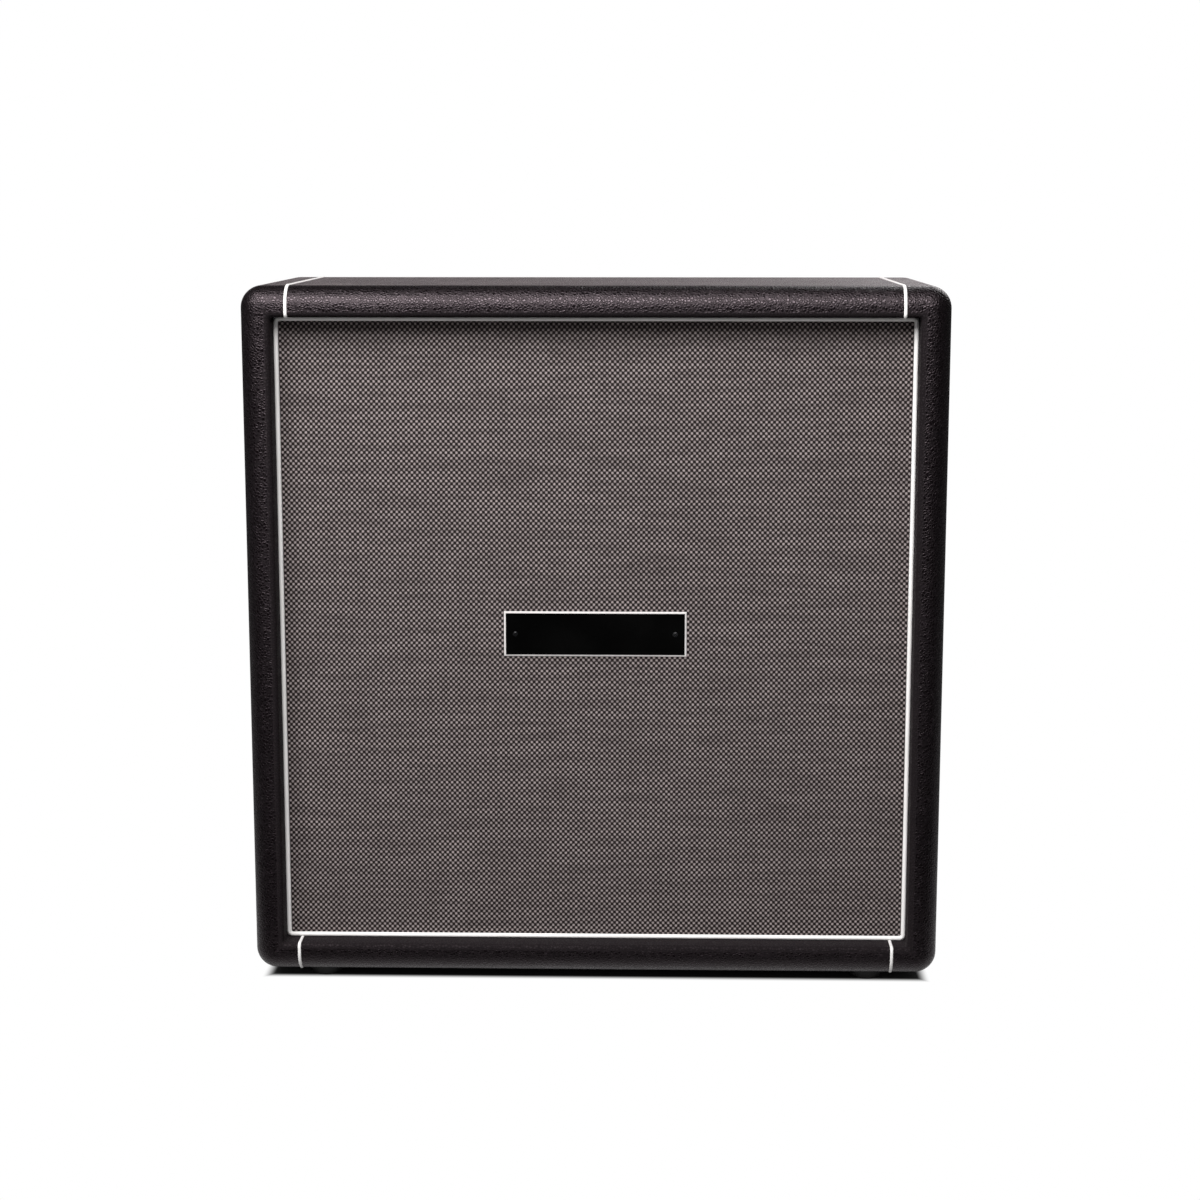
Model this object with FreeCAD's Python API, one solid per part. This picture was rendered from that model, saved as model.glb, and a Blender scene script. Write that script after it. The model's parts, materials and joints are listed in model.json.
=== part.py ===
# Closed-back guitar speaker cabinet with four twelve-inch drivers.
# X runs to the right as seen from the front, Y runs from the front to the back, Z is up.
# The origin is on the floor under the middle of the cabinet. All sizes are in millimetres.
import FreeCAD
import Part
import math
import os

Vector = FreeCAD.Vector

# Cabinet shell, measured over its covering
width = 762.0
height = 762.0
depth = 305.0
panel = 18.0
vinyl = 1.0
corner_round = 24.0
front_edge_step = 1.0
rear_round = 10.0
rear_inner_round = 3.0
finger_count = 9

# Front lip, whose inner face frames the grille
lip = 33.5
lip_round = 5.0
lip_corner_round = 3.0
recess = 30.0

# White beads over the covering's seams
seam_inset = 51.0
seam_bead_width = 3.6
seam_bead_rise = 1.2
seam_bead_side = 0.8

# White piping round the grille
piping_bead = 5.0
piping_corner = 4.0
piping_tail = 2.5
piping_tail_thickness = 0.8

# Baffle and grille cloth
cloth = 1.0
baffle = 18.0
baffle_gap = 1.0
baffle_screw_radius = 2.0
baffle_screw_bite = 12.0
baffle_screw_head_radius = 3.4
baffle_screw_head_height = 2.0
baffle_screws_per_side = 3

# Back panel, its cleats and its screws
back_panel = 12.0
back_inset = 8.0
back_gap = 0.5
cleat = 20.0
back_screws_per_side = 4
back_screw_radius = 2.0
back_screw_bite = 15.0
back_screw_head_radius = 3.6
back_screw_edge = 1.0
back_washer_radius = 7.5
back_washer_height = 2.4
brace = 45.0

# Name plate, left blank
badge_width = 201.0
badge_height = 50.0
badge_base = 1.6
badge_face = 0.8
badge_bevel = 2.0
badge_screw_inset = 12.5
badge_screw_radius = 1.5
badge_screw_bite = 10.0
badge_screw_head_radius = 2.9
badge_screw_head_height = 1.6

# Feet
foot_height = 12.0
foot_top_radius = 20.0
foot_bottom_radius = 17.5
foot_seam_gap = 3.0
foot_inset_y = 46.0
foot_recess_radius = 7.5
foot_recess = 6.0
foot_screw_radius = 2.4
foot_screw_head_radius = 6.0
foot_screw_head_height = 3.0
foot_screw_bite = 14.0

# Recessed side handles
handle_rise = 440.0
handle_rim = 16.0
handle_plate_corner = 12.0
handle_steel = 1.5
pan_width = 146.0
pan_height = 100.0
pan_depth = 23.0
pan_corner = 14.0
pan_floor_round = 6.0
pan_clearance = 1.0
bail_radius = 4.0
bail_floor_gap = 1.5
bail_bend = 10.0
bail_arm = 46.0
bail_lug_gap = 0.5
bail_pivot_rise = 30.0
bail_end_gap = 1.0
pivot_clearance = 0.06
lug_thickness = 9.0
lug_radius = 7.5
grip_radius = 9.0
grip_end_gap = 4.0
grip_round = 2.0
grip_clearance = 0.05
handle_screw_radius = 2.0
handle_screw_bite = 14.0
handle_screw_head_radius = 3.8
handle_screw_head_height = 2.2

# Jack plate and its two quarter-inch jacks
jack_drop = 130.0
jack_plate_width = 112.0
jack_plate_height = 66.0
jack_plate_thickness = 2.0
jack_plate_corner = 5.0
jack_spread = 38.0
jack_bush_radius = 5.5
jack_bush_rise = 3.5
jack_bush_clearance = 0.1
jack_bore_radius = 3.3
jack_bore_depth = 20.0
jack_body = 18.0
jack_body_length = 24.0
jack_nut_flats = 14.0
jack_nut_height = 2.5
jack_tag_width = 6.0
jack_tag_thickness = 1.0
jack_tag_length = 8.0
jack_window_width = 70.0
jack_window_height = 44.0
jack_screw_radius = 1.8
jack_screw_bite = 9.0
jack_screw_head_radius = 3.4
jack_screw_head_height = 2.0
jack_screw_edge = 7.0

# Twelve-inch drivers: radii from the axis, depths from the baffle's rear face
speaker_gap = 12.0
speaker_edge = 46.0
cutout_step = 0.5
gasket = 4.0
gasket_width = 13.5
basket_steel = 2.0
flange_width = 17.0
basket_throat_radius = 74.0
basket_throat_depth = 62.0
basket_ledge = 12.0
basket_neck = 12.0
basket_hole_gap = 2.4
window_count = 8
window_width = 44.0
window_near_margin = 12.0
window_far_margin = 6.0
front_plate_radius = 70.0
front_plate = 8.0
magnet_radius = 78.0
magnet_inner_radius = 36.0
magnet = 20.0
yoke_radius = 72.0
yoke_plate = 8.0
pole_rise = 1.0
coil_radius = 25.0
former = 0.3
winding = 0.7
winding_height = 11.0
coil_gap = 0.6
coil_tail = 4.0
cone_mouth_depth = 4.5
cone_throat_depth = 47.0
cone_paper = 0.8
cone_bow = 5.0
dust_cap_radius = 34.0
dust_cap_rise = 11.0
surround_width = 9.0
surround_rim_width = 5.0
surround_paper = 0.6
surround_rolls = 2
spider_cloth = 0.6
spider_rolls = 5
spider_roll_height = 3.0
bolt_edge = 6.5
bolt_count = 8
bolt_radius = 2.5
bolt_head_radius = 4.6
bolt_head_height = 3.0
bolt_nut_flats = 8.0
bolt_nut_height = 4.0
bolt_tail = 2.0
terminal_width = 26.0
terminal_height = 10.0
terminal_thickness = 6.0
terminal_tag_spread = 14.0
terminal_tag_width = 6.0
terminal_tag_thickness = 1.0
terminal_tag_length = 9.0
wire_radius = 1.3
wire_lead_out = 22.0

# Clearance of fasteners in their holes
hole_clearance = 0.1

# Places worked out from the sizes above
y_front = -depth / 2
y_rear = depth / 2
z_low = foot_height
z_high = foot_height + height
z_mid = foot_height + height / 2
wall = vinyl + panel
y_lip_rear = y_front + recess
y_cloth = y_lip_rear + piping_tail_thickness
y_baffle = y_cloth + cloth
y_mount = y_baffle + baffle
y_back_skin = y_rear - back_inset
y_back_panel = y_back_skin - vinyl
y_back_inside = y_back_panel - back_panel
rear_wrap = back_inset + vinyl + back_panel
x_seam = width / 2 - seam_inset
front_round = corner_round - front_edge_step
reach = width + height + depth
flange_radius = (min(width, height) / 2 - wall - speaker_edge - speaker_gap / 2) / 2
speaker_pitch = 2 * flange_radius + speaker_gap
gasket_inner_radius = flange_radius - gasket_width
cutout_radius = gasket_inner_radius - cutout_step
bolt_circle_radius = flange_radius - bolt_edge
basket_rim_radius = flange_radius - flange_width
basket_floor_radius = basket_throat_radius - basket_ledge
basket_floor_depth = basket_throat_depth + basket_neck
gap_radius = coil_radius + former + winding + coil_gap
pole_radius = coil_radius - coil_gap
basket_hole_radius = gap_radius + basket_hole_gap
window_near_depth = gasket + basket_steel + window_near_margin
window_far_depth = basket_throat_depth - window_far_margin
magnet_depth = basket_floor_depth + basket_steel + front_plate
yoke_depth = magnet_depth + magnet
gap_middle = basket_floor_depth + basket_steel + front_plate / 2
cone_mouth_radius = basket_rim_radius - surround_width
handle_plate_width = pan_width + 2 * handle_rim
handle_plate_height = pan_height + 2 * handle_rim
handle_hole_rise = pan_height / 2 + pan_clearance
bail_depth = pan_depth - handle_steel - bail_floor_gap - grip_radius
bail_arm_spread = pan_width / 2 - handle_steel - lug_thickness - bail_lug_gap - bail_bend
grip_length = 2 * (bail_arm_spread - bail_bend - grip_end_gap)
z_handle = foot_height + handle_rise
z_jack = z_mid - jack_drop
speaker_centres = [
    (-speaker_pitch / 2, z_mid + speaker_pitch / 2),
    (speaker_pitch / 2, z_mid + speaker_pitch / 2),
    (-speaker_pitch / 2, z_mid - speaker_pitch / 2),
    (speaker_pitch / 2, z_mid - speaker_pitch / 2),
]


# Shared shapes

def box(x0, x1, y0, y1, z0, z1):
    return Part.makeBox(x1 - x0, y1 - y0, z1 - z0, Vector(x0, y0, z0))


def inset_block(margin, y0, y1):
    """A block that lies this far inside the cabinet's outer faces all round."""
    return box(margin - width / 2, width / 2 - margin, y0, y1, z_low + margin, z_high - margin)


def rod_y(radius, y0, y1, x, z):
    return Part.makeCylinder(radius, y1 - y0, Vector(x, y0, z), Vector(0, 1, 0))


def rod_z(radius, z0, z1, x, y):
    return Part.makeCylinder(radius, z1 - z0, Vector(x, y, z0), Vector(0, 0, 1))


def rod_x(radius, x0, x1, y, z):
    return Part.makeCylinder(radius, x1 - x0, Vector(x0, y, z), Vector(1, 0, 0))


def hex_y(flats, y0, y1, x, z):
    """A hexagonal prism along Y, given its width across the flats."""
    corner = flats / math.sqrt(3)
    turns = [math.radians(60 * i) for i in range(7)]
    points = [Vector(x + corner * math.cos(a), y0, z + corner * math.sin(a)) for a in turns]
    return Part.Face(Part.makePolygon(points)).extrude(Vector(0, y1 - y0, 0))


def edges_along(shape, axis):
    """The straight edges of a shape that run along an axis."""
    found = []
    for edge in shape.Edges:
        span = edge.lastVertex().Point - edge.firstVertex().Point
        if isinstance(edge.Curve, Part.Line) and abs(abs(span.normalize().dot(axis)) - 1) < 1e-6:
            found.append(edge)
    return found


def edges_in_plane(shape, axis, level, reach_x=reach):
    """The edges that lie in a plane across an axis, no further from the middle than reach_x."""
    found = []
    for edge in shape.Edges:
        points = edge.discretize(5)
        flat = all(abs(p.dot(axis) - level) < 1e-4 for p in points)
        if flat and all(abs(p.x) < reach_x for p in points):
            found.append(edge)
    return found


def tube(points, radius):
    """A round tube along straight runs that are joined by tangent arcs."""
    edges = []
    start = points[0]
    for before, corner, after in zip(points, points[1:], points[2:]):
        into = (corner - before)
        away = (after - corner)
        trim = 0.45 * min(into.Length, away.Length)
        into.normalize()
        away.normalize()
        first = corner - into * trim
        last = corner + away * trim
        turn = into.getAngle(away)
        bend = trim / math.tan(turn / 2)
        toward = (away - into).normalize()
        middle = corner + toward * (bend / math.cos(turn / 2) - bend)
        edges.append(Part.LineSegment(start, first).toShape())
        edges.append(Part.Arc(first, middle, last).toShape())
        start = last
    edges.append(Part.LineSegment(start, points[-1]).toShape())
    path = Part.Wire(edges)
    section = Part.Wire(Part.makeCircle(radius, points[0], points[1] - points[0]))
    return path.makePipeShell([section], True, False)


def turned(outline, centre):
    """A solid of revolution about a driver's axis: outline holds (radius, depth) corners."""
    x, z = centre
    points = [Vector(x + r, y_mount + d, z) for r, d in outline]
    face = Part.Face(Part.makePolygon(points + points[:1]))
    return face.revolve(Vector(x, 0, z), Vector(0, 1, 0), 360)


def thick_line(points, thickness):
    """The closed outline of a strip: a line of (radius, depth) points, and it again shifted in depth."""
    return points + [(r, d + thickness) for r, d in reversed(points)]


# Cabinet shell

def shell_form(skin):
    """Shell and lip as one form, with every covered face set this far inside the finished surface."""
    y0 = y_front + skin
    y1 = y_rear - skin
    form = inset_block(skin, y0, y1)
    form = form.makeFillet(corner_round - skin, edges_along(form, Vector(0, 1, 0)))
    form = form.makeFillet(front_round - skin, edges_in_plane(form, Vector(0, 1, 0), y0))
    form = form.makeFillet(rear_round - skin, edges_in_plane(form, Vector(0, 1, 0), y1))
    mouth = inset_block(lip - skin, y_front - recess, y_lip_rear)
    mouth = mouth.makeFillet(lip_corner_round + skin, edges_along(mouth, Vector(0, 1, 0)))
    form = form.cut(mouth)
    rim = edges_in_plane(form, Vector(0, 1, 0), y0, width / 2 - lip + skin + hole_clearance)
    form = form.makeFillet(lip_round - skin, rim)
    form = form.cut(inset_block(wall, y_lip_rear, y_rear - rear_wrap))
    rear_margin = wall + vinyl - skin
    form = form.cut(inset_block(rear_margin, y_rear - rear_wrap, y_rear + recess))
    rim = edges_in_plane(form, Vector(0, 1, 0), y1, width / 2 - rear_margin + hole_clearance)
    return form.makeFillet(rear_inner_round - skin, rim)


def handle_cuts():
    """The square openings in the two sides that take the handle pans, with room round them."""
    half_y = pan_width / 2 + pan_clearance
    return box(-width, width, -half_y, half_y, z_handle - handle_hole_rise, z_handle + handle_hole_rise)


def foot_places():
    x = x_seam - seam_bead_width / 2 - foot_seam_gap - foot_top_radius
    y = depth / 2 - foot_inset_y
    return [(-x, -y), (x, -y), (-x, y), (x, y)]


def handle_screw_places():
    """Y and Z of the screws round a handle's plate."""
    y = (pan_width + handle_rim) / 2
    z = (pan_height + handle_rim) / 2
    return [(sy * y, z_handle + sz * z) for sy in (-1, 0, 1) for sz in (-1, 1)]


def shell_screw_holes():
    """Holes that the foot and handle screws need in the shell and its covering."""
    holes = []
    radius = foot_screw_radius + hole_clearance
    for x, y in foot_places():
        holes.append(rod_z(radius, 0, z_low + vinyl + foot_screw_bite, x, y))
    radius = handle_screw_radius + hole_clearance
    inner = width / 2 - handle_screw_bite
    for y, z in handle_screw_places():
        holes.append(rod_x(radius, inner, width, y, z))
        holes.append(rod_x(radius, -width, -inner, y, z))
    return holes


def finger_slabs(first):
    """Every second slice of the depth, for the fingers of the corner joints."""
    pitch = depth / finger_count
    starts = [y_front + i * pitch for i in range(first, finger_count, 2)]
    return [(y, y + pitch) for y in starts]


def shell_panels(wood, holes):
    """Top, bottom and sides, finger-jointed; a side is glued up from four boards round its handle opening."""
    frame = wood.cut(inset_block(wall, y_front - recess, y_rear + recess))
    x_in = width / 2 - wall
    z_in = height / 2 - wall
    lids = box(-x_in, x_in, y_front, y_rear, z_mid - height, z_mid + height)
    lids = lids.multiFuse(
        [box(-width, width, y0, y1, z_mid - height, z_mid - z_in) for y0, y1 in finger_slabs(0)]
        + [box(-width, width, y0, y1, z_mid + z_in, z_mid + height) for y0, y1 in finger_slabs(0)]
    )
    flat = frame.common(lids).cut(holes)
    upright = frame.cut(lids).cut(holes + [handle_cuts()])
    top, bottom = sorted(flat.Solids, key=lambda s: -s.CenterOfMass.z)
    levels = [z_low, z_handle - handle_hole_rise, z_handle + handle_hole_rise, z_high]
    boards = []
    for z0, z1 in zip(levels, levels[1:]):
        boards += upright.common(box(-width, width, y_front, y_rear, z0, z1)).Solids
    left = Part.makeCompound([b for b in boards if b.CenterOfMass.x < 0])
    right = Part.makeCompound([b for b in boards if b.CenterOfMass.x > 0])
    return {"top_panel": top, "bottom_panel": bottom, "left_panel": left, "right_panel": right}


def lip_battens(wood):
    """The four rails that thicken the shell to the width of the lip."""
    rails = wood.common(inset_block(wall, y_front, y_lip_rear))
    x_in = width / 2 - lip + vinyl
    flat = rails.common(box(-x_in, x_in, y_front, y_lip_rear, z_low, z_high))
    upright = rails.cut(box(-x_in, x_in, y_front, y_lip_rear, z_low, z_high))
    holes = baffle_screw_holes()
    return Part.makeCompound(flat.cut(holes).Solids + upright.cut(holes).Solids)


def covering(wood, holes):
    """The vinyl in four pieces, parted at the seams, with a slot for each white bead."""
    skin = shell_form(0).cut(wood).cut(holes + [handle_cuts()])
    half = seam_bead_width / 2
    middle = box(half - x_seam, x_seam - half, -depth, depth, z_low - vinyl, z_high + vinyl)
    both = skin.common(middle)
    upper = both.common(box(-width, width, -depth, depth, z_mid, z_high + height))
    lower = both.common(box(-width, width, -depth, depth, z_low - height, z_mid))
    left = skin.common(box(-width, -x_seam - half, -depth, depth, z_low - vinyl, z_high + vinyl))
    right = skin.common(box(x_seam + half, width, -depth, depth, z_low - vinyl, z_high + vinyl))
    return {"top_vinyl": upper, "bottom_vinyl": lower, "left_vinyl": left, "right_vinyl": right}


def seam_bead(x, side):
    """One bead along a seam: up the lip, over the front, along the cabinet and over the rear edge."""
    def at(y, drop):
        return Vector(x, y, z_mid + side * (height / 2 - drop))

    def bend(y_mid, drop_mid, radius, y_way, drop_way):
        slant = radius * math.sqrt(0.5)
        return at(y_mid + y_way * slant, drop_mid + drop_way * slant)

    y0 = y_front + vinyl
    y1 = y_rear - vinyl
    inner = lip_round - vinyl
    outer = front_round - vinyl
    back = rear_round - vinyl
    rear_lip = rear_inner_round - vinyl
    low = lip - vinyl
    start = at(y_cloth - piping_bead - hole_clearance, low)
    stops = [
        (at(y0 + inner, low), bend(y0 + inner, low - inner, inner, -1, 1), at(y0, low - inner)),
        (at(y0, vinyl + outer), bend(y0 + outer, vinyl + outer, outer, -1, -1), at(y0 + outer, vinyl)),
        (at(y1 - back, vinyl), bend(y1 - back, vinyl + back, back, 1, -1), at(y1, vinyl + back)),
        (at(y1, wall - rear_lip), bend(y1 - rear_lip, wall - rear_lip, rear_lip, 1, 1),
         at(y1 - rear_lip, wall)),
    ]
    edges = []
    for first, middle, last in stops:
        edges.append(Part.LineSegment(start, first).toShape())
        edges.append(Part.Arc(first, middle, last).toShape())
        start = last
    edges.append(Part.LineSegment(start, at(y_back_skin + vinyl, wall)).toShape())
    path = Part.Wire(edges)
    half = seam_bead_width / 2
    foot = path.Vertexes[0].Point
    across = Vector(half, 0, 0)
    sill = Vector(0, 0, -side * seam_bead_side)
    crown = Vector(0, 0, -side * (vinyl + seam_bead_rise))
    section = Part.Wire([
        Part.LineSegment(foot + across, foot - across).toShape(),
        Part.LineSegment(foot - across, foot - across + sill).toShape(),
        Part.Arc(foot - across + sill, foot + crown, foot + across + sill).toShape(),
        Part.LineSegment(foot + across + sill, foot + across).toShape(),
    ])
    return path.makePipeShell([section], True, False)


def seam_piping():
    return Part.makeCompound([seam_bead(x, side) for x in (-x_seam, x_seam) for side in (1, -1)])


# Front

def grille_piping():
    """A round bead in the corner between lip and cloth, with a flat tail clamped behind the lip."""
    margin = lip + piping_bead / 2
    y_axis = y_cloth - piping_bead / 2
    x = width / 2 - margin
    z = height / 2 - margin
    corner = piping_corner
    slant = corner * (1 - math.sqrt(0.5))

    def at(px, pz):
        return Vector(px, y_axis, z_mid + pz)

    edges = []
    for sx, sz in ((1, 1), (1, -1), (-1, -1), (-1, 1)):
        beside = at(sx * x, sz * (z - corner))
        above = at(sx * (x - corner), sz * z)
        middle = at(sx * (x - slant), sz * (z - slant))
        first, last = (above, beside) if sx == sz else (beside, above)
        if edges:
            edges.append(Part.LineSegment(edges[-1].lastVertex().Point, first).toShape())
        edges.append(Part.Arc(first, middle, last).toShape())
    edges.append(Part.LineSegment(edges[-1].lastVertex().Point, edges[0].firstVertex().Point).toShape())
    path = Part.Wire(edges)
    run = edges[-1]
    section = Part.makeCircle(piping_bead / 2, edges[0].firstVertex().Point, run.tangentAt(run.LastParameter))
    bead = path.makePipeShell([Part.Wire(section)], True, False)
    tail = inset_block(lip - piping_tail, y_lip_rear, y_cloth)
    tail = tail.cut(inset_block(margin, y_lip_rear, y_cloth))
    return bead.fuse(tail).removeSplitter()


def baffle_screw_places():
    """X and Z of the screws that hold the baffle to the lip rails from behind."""
    inset = (wall + lip - vinyl) / 2
    x = width / 2 - inset
    z = height / 2 - inset
    steps = [(i + 0.5) / baffle_screws_per_side * 2 - 1 for i in range(baffle_screws_per_side)]
    flat = [(x * t, z_mid + s * z) for t in steps for s in (-1, 1)]
    upright = [(s * x, z_mid + z * t) for t in steps for s in (-1, 1)]
    return flat + upright


def baffle_screw_holes():
    radius = baffle_screw_radius + hole_clearance
    return [rod_y(radius, y_lip_rear - baffle_screw_bite, y_mount, x, z) for x, z in baffle_screw_places()]


def baffle_screws():
    made = []
    for x, z in baffle_screw_places():
        shank = rod_y(baffle_screw_radius, y_lip_rear - baffle_screw_bite, y_mount, x, z)
        head = rod_y(baffle_screw_head_radius, y_mount, y_mount + baffle_screw_head_height, x, z)
        made.append(shank.fuse(head).removeSplitter())
    return Part.makeCompound(made)


def badge_screw_places():
    return [s * (badge_width / 2 - badge_screw_inset) for s in (-1, 1)]


def badge_screw_holes():
    radius = badge_screw_radius + hole_clearance
    y_face = y_cloth - badge_base - badge_face
    return [rod_y(radius, y_face, y_baffle + badge_screw_bite, x, z_mid) for x in badge_screw_places()]


def grille_cloth():
    sheet = inset_block(wall + baffle_gap, y_cloth, y_baffle)
    return sheet.cut(baffle_screw_holes() + badge_screw_holes())


def bolt_places(centre):
    turns = [2 * math.pi * (i + 0.5) / bolt_count for i in range(bolt_count)]
    x, z = centre
    return [(x + bolt_circle_radius * math.cos(a), z + bolt_circle_radius * math.sin(a)) for a in turns]


def baffle_board():
    board = inset_block(wall + baffle_gap, y_baffle, y_mount)
    cuts = baffle_screw_holes() + badge_screw_holes()
    for centre in speaker_centres:
        cuts.append(rod_y(cutout_radius, y_baffle, y_mount, *centre))
        for x, z in bolt_places(centre):
            cuts.append(rod_y(bolt_radius + hole_clearance, y_baffle, y_mount, x, z))
            cuts.append(rod_y(bolt_head_radius + hole_clearance, y_baffle, y_baffle + bolt_head_height, x, z))
    return board.cut(cuts)


def badge_pieces():
    """A white plate with bevelled edges, and the black face that leaves its bevel showing."""
    half_x = badge_width / 2
    half_z = badge_height / 2
    y_base = y_cloth - badge_base
    y_face = y_base - badge_face
    base = box(-half_x, half_x, y_base, y_cloth, z_mid - half_z, z_mid + half_z)
    front = edges_in_plane(base, Vector(0, 1, 0), y_base)
    base = base.makeChamfer(min(badge_bevel, badge_base) / 2, front)
    face = box(
        badge_bevel - half_x, half_x - badge_bevel, y_face, y_base,
        z_mid - half_z + badge_bevel, z_mid + half_z - badge_bevel,
    )
    face = face.makeChamfer(badge_face / 2, edges_in_plane(face, Vector(0, 1, 0), y_face))
    holes = badge_screw_holes()
    screws = []
    for x in badge_screw_places():
        shank = rod_y(badge_screw_radius, y_face, y_baffle + badge_screw_bite, x, z_mid)
        head = rod_y(badge_screw_head_radius, y_face - badge_screw_head_height, y_face, x, z_mid)
        head = head.makeFillet(badge_screw_head_height / 2, edges_in_plane(
            head, Vector(0, 1, 0), y_face - badge_screw_head_height))
        screws.append(shank.fuse(head).removeSplitter())
    return {
        "badge_base": base.cut(holes),
        "badge_face": face.cut(holes),
        "badge_screws": Part.makeCompound(screws),
    }


# Back

def back_screw_places():
    """X and Z of the screws round the back panel, over the middle of the cleats."""
    inset = wall + vinyl + back_gap + back_screw_edge + back_washer_radius
    x = width / 2 - inset
    z = height / 2 - inset
    steps = [(i + 0.5) / back_screws_per_side * 2 - 1 for i in range(back_screws_per_side)]
    flat = [(x * t, z_mid + s * z) for t in steps for s in (-1, 1)]
    upright = [(s * x, z_mid + z * t) for t in steps for s in (-1, 1)]
    return flat + upright


def back_screw_holes():
    radius = back_screw_radius + hole_clearance
    y0 = y_back_inside - back_screw_bite
    return [rod_y(radius, y0, y_back_skin, x, z) for x, z in back_screw_places()]


def back_screws():
    """Wood screws in cup washers: each washer is a ring with a sloping face round the screw's head."""
    made = []
    y_top = y_back_skin + back_washer_height
    y0 = y_back_inside - back_screw_bite
    for x, z in back_screw_places():
        axis = Vector(0, 1, 0)
        cup = Part.makeCone(
            back_washer_radius, back_screw_head_radius + hole_clearance + vinyl,
            back_washer_height, Vector(x, y_back_skin, z), axis)
        cup = cup.cut(rod_y(back_screw_head_radius + hole_clearance, y_back_skin, y_top, x, z))
        shank = rod_y(back_screw_radius, y0, y_back_skin, x, z)
        head = rod_y(back_screw_head_radius, y_back_skin, y_top, x, z)
        slot_half = back_screw_head_radius / 5
        slot = box(x - slot_half, x + slot_half, y_top - back_washer_height / 2, y_top,
                   z - slot_half * 3, z + slot_half * 3)
        cross = box(x - slot_half * 3, x + slot_half * 3, y_top - back_washer_height / 2, y_top,
                    z - slot_half, z + slot_half)
        made.append(cup)
        made.append(shank.fuse(head).removeSplitter().cut([slot, cross]))
    return Part.makeCompound(made)


def jack_screw_places():
    x = jack_plate_width / 2 - jack_screw_edge
    z = jack_plate_height / 2 - jack_screw_edge
    return [(sx * x, z_jack + sz * z) for sx in (-1, 1) for sz in (-1, 1)]


def jack_screw_holes():
    radius = jack_screw_radius + hole_clearance
    y1 = y_back_skin + jack_plate_thickness
    return [rod_y(radius, y_back_skin - jack_screw_bite, y1, x, z) for x, z in jack_screw_places()]


def back_pieces():
    """The panel in its rebate, its own covering, and the cleats that it is screwed to."""
    margin = wall + vinyl + back_gap
    window = box(-jack_window_width / 2, jack_window_width / 2, y_back_inside, y_back_skin,
                 z_jack - jack_window_height / 2, z_jack + jack_window_height / 2)
    cuts = back_screw_holes() + jack_screw_holes() + [window]
    board = inset_block(margin, y_back_inside, y_back_panel)
    skin = inset_block(margin, y_back_panel, y_back_skin)
    y0 = y_back_inside - cleat
    frame = inset_block(wall, y0, y_back_inside).cut(inset_block(wall + cleat, y0, y_back_inside))
    x_in = width / 2 - wall - cleat
    middle = box(-x_in, x_in, y0, y_back_inside, z_low, z_high)
    cleats = frame.common(middle).cut(cuts).Solids + frame.cut(middle).cut(cuts).Solids
    return {
        "back_panel": board.cut(cuts),
        "back_panel_vinyl": skin.cut(cuts),
        "rear_cleats": Part.makeCompound(cleats),
    }


def centre_brace():
    half = brace / 2
    return box(-half, half, y_mount, y_back_inside, z_mid - half, z_mid + half)


def jack_plate():
    half_x = jack_plate_width / 2
    half_z = jack_plate_height / 2
    y1 = y_back_skin + jack_plate_thickness
    plate = box(-half_x, half_x, y_back_skin, y1, z_jack - half_z, z_jack + half_z)
    plate = plate.makeFillet(jack_plate_corner, edges_along(plate, Vector(0, 1, 0)))
    holes = jack_screw_holes()
    for s in (-1, 1):
        radius = jack_bush_radius + jack_bush_clearance
        holes.append(rod_y(radius, y_back_skin, y1, s * jack_spread / 2, z_jack))
    return plate.cut(holes)


def jack_tag_places(x):
    """X and Z of a jack's two solder tags."""
    return [(x - jack_body / 4, z_jack), (x + jack_body / 4, z_jack)]


def jack(x):
    """A moulded body with a threaded bush through the plate, and the nut that holds it."""
    y_plate = y_back_skin + jack_plate_thickness
    y_mouth = y_plate + jack_bush_rise
    y_end = y_back_skin - jack_body_length
    half = jack_body / 2
    body = box(x - half, x + half, y_end, y_back_skin, z_jack - half, z_jack + half)
    body = body.fuse(rod_y(jack_bush_radius, y_back_skin, y_mouth, x, z_jack))
    for tag_x, tag_z in jack_tag_places(x):
        w = jack_tag_width / 2
        t = jack_tag_thickness / 2
        body = body.fuse(box(tag_x - t, tag_x + t, y_end - jack_tag_length, y_end, tag_z - w, tag_z + w))
    body = body.cut(rod_y(jack_bore_radius, y_mouth - jack_bore_depth, y_mouth, x, z_jack))
    nut = hex_y(jack_nut_flats, y_plate, y_plate + jack_nut_height, x, z_jack)
    nut = nut.cut(rod_y(jack_bush_radius + jack_bush_clearance, y_plate, y_mouth, x, z_jack))
    return Part.makeCompound([body.removeSplitter(), nut])


def jack_plate_screws():
    made = []
    y_plate = y_back_skin + jack_plate_thickness
    for x, z in jack_screw_places():
        shank = rod_y(jack_screw_radius, y_back_skin - jack_screw_bite, y_plate, x, z)
        head = rod_y(jack_screw_head_radius, y_plate, y_plate + jack_screw_head_height, x, z)
        head = head.makeFillet(jack_screw_head_height / 2, edges_in_plane(
            head, Vector(0, 1, 0), y_plate + jack_screw_head_height))
        made.append(shank.fuse(head).removeSplitter())
    return Part.makeCompound(made)


# Feet

def rubber_feet():
    made = []
    for x, y in foot_places():
        foot = Part.makeCone(foot_bottom_radius, foot_top_radius, foot_height, Vector(x, y, 0))
        foot = foot.cut(rod_z(foot_recess_radius, 0, foot_recess, x, y))
        made.append(foot.cut(rod_z(foot_screw_radius + hole_clearance, 0, foot_height, x, y)))
    return Part.makeCompound(made)


def foot_screws():
    made = []
    z_top = z_low + vinyl + foot_screw_bite
    for x, y in foot_places():
        shank = rod_z(foot_screw_radius, foot_recess, z_top, x, y)
        head = rod_z(foot_screw_head_radius, foot_recess - foot_screw_head_height, foot_recess, x, y)
        made.append(shank.fuse(head).removeSplitter())
    return Part.makeCompound(made)


# Handles, built on the right side and mirrored to the left

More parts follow.
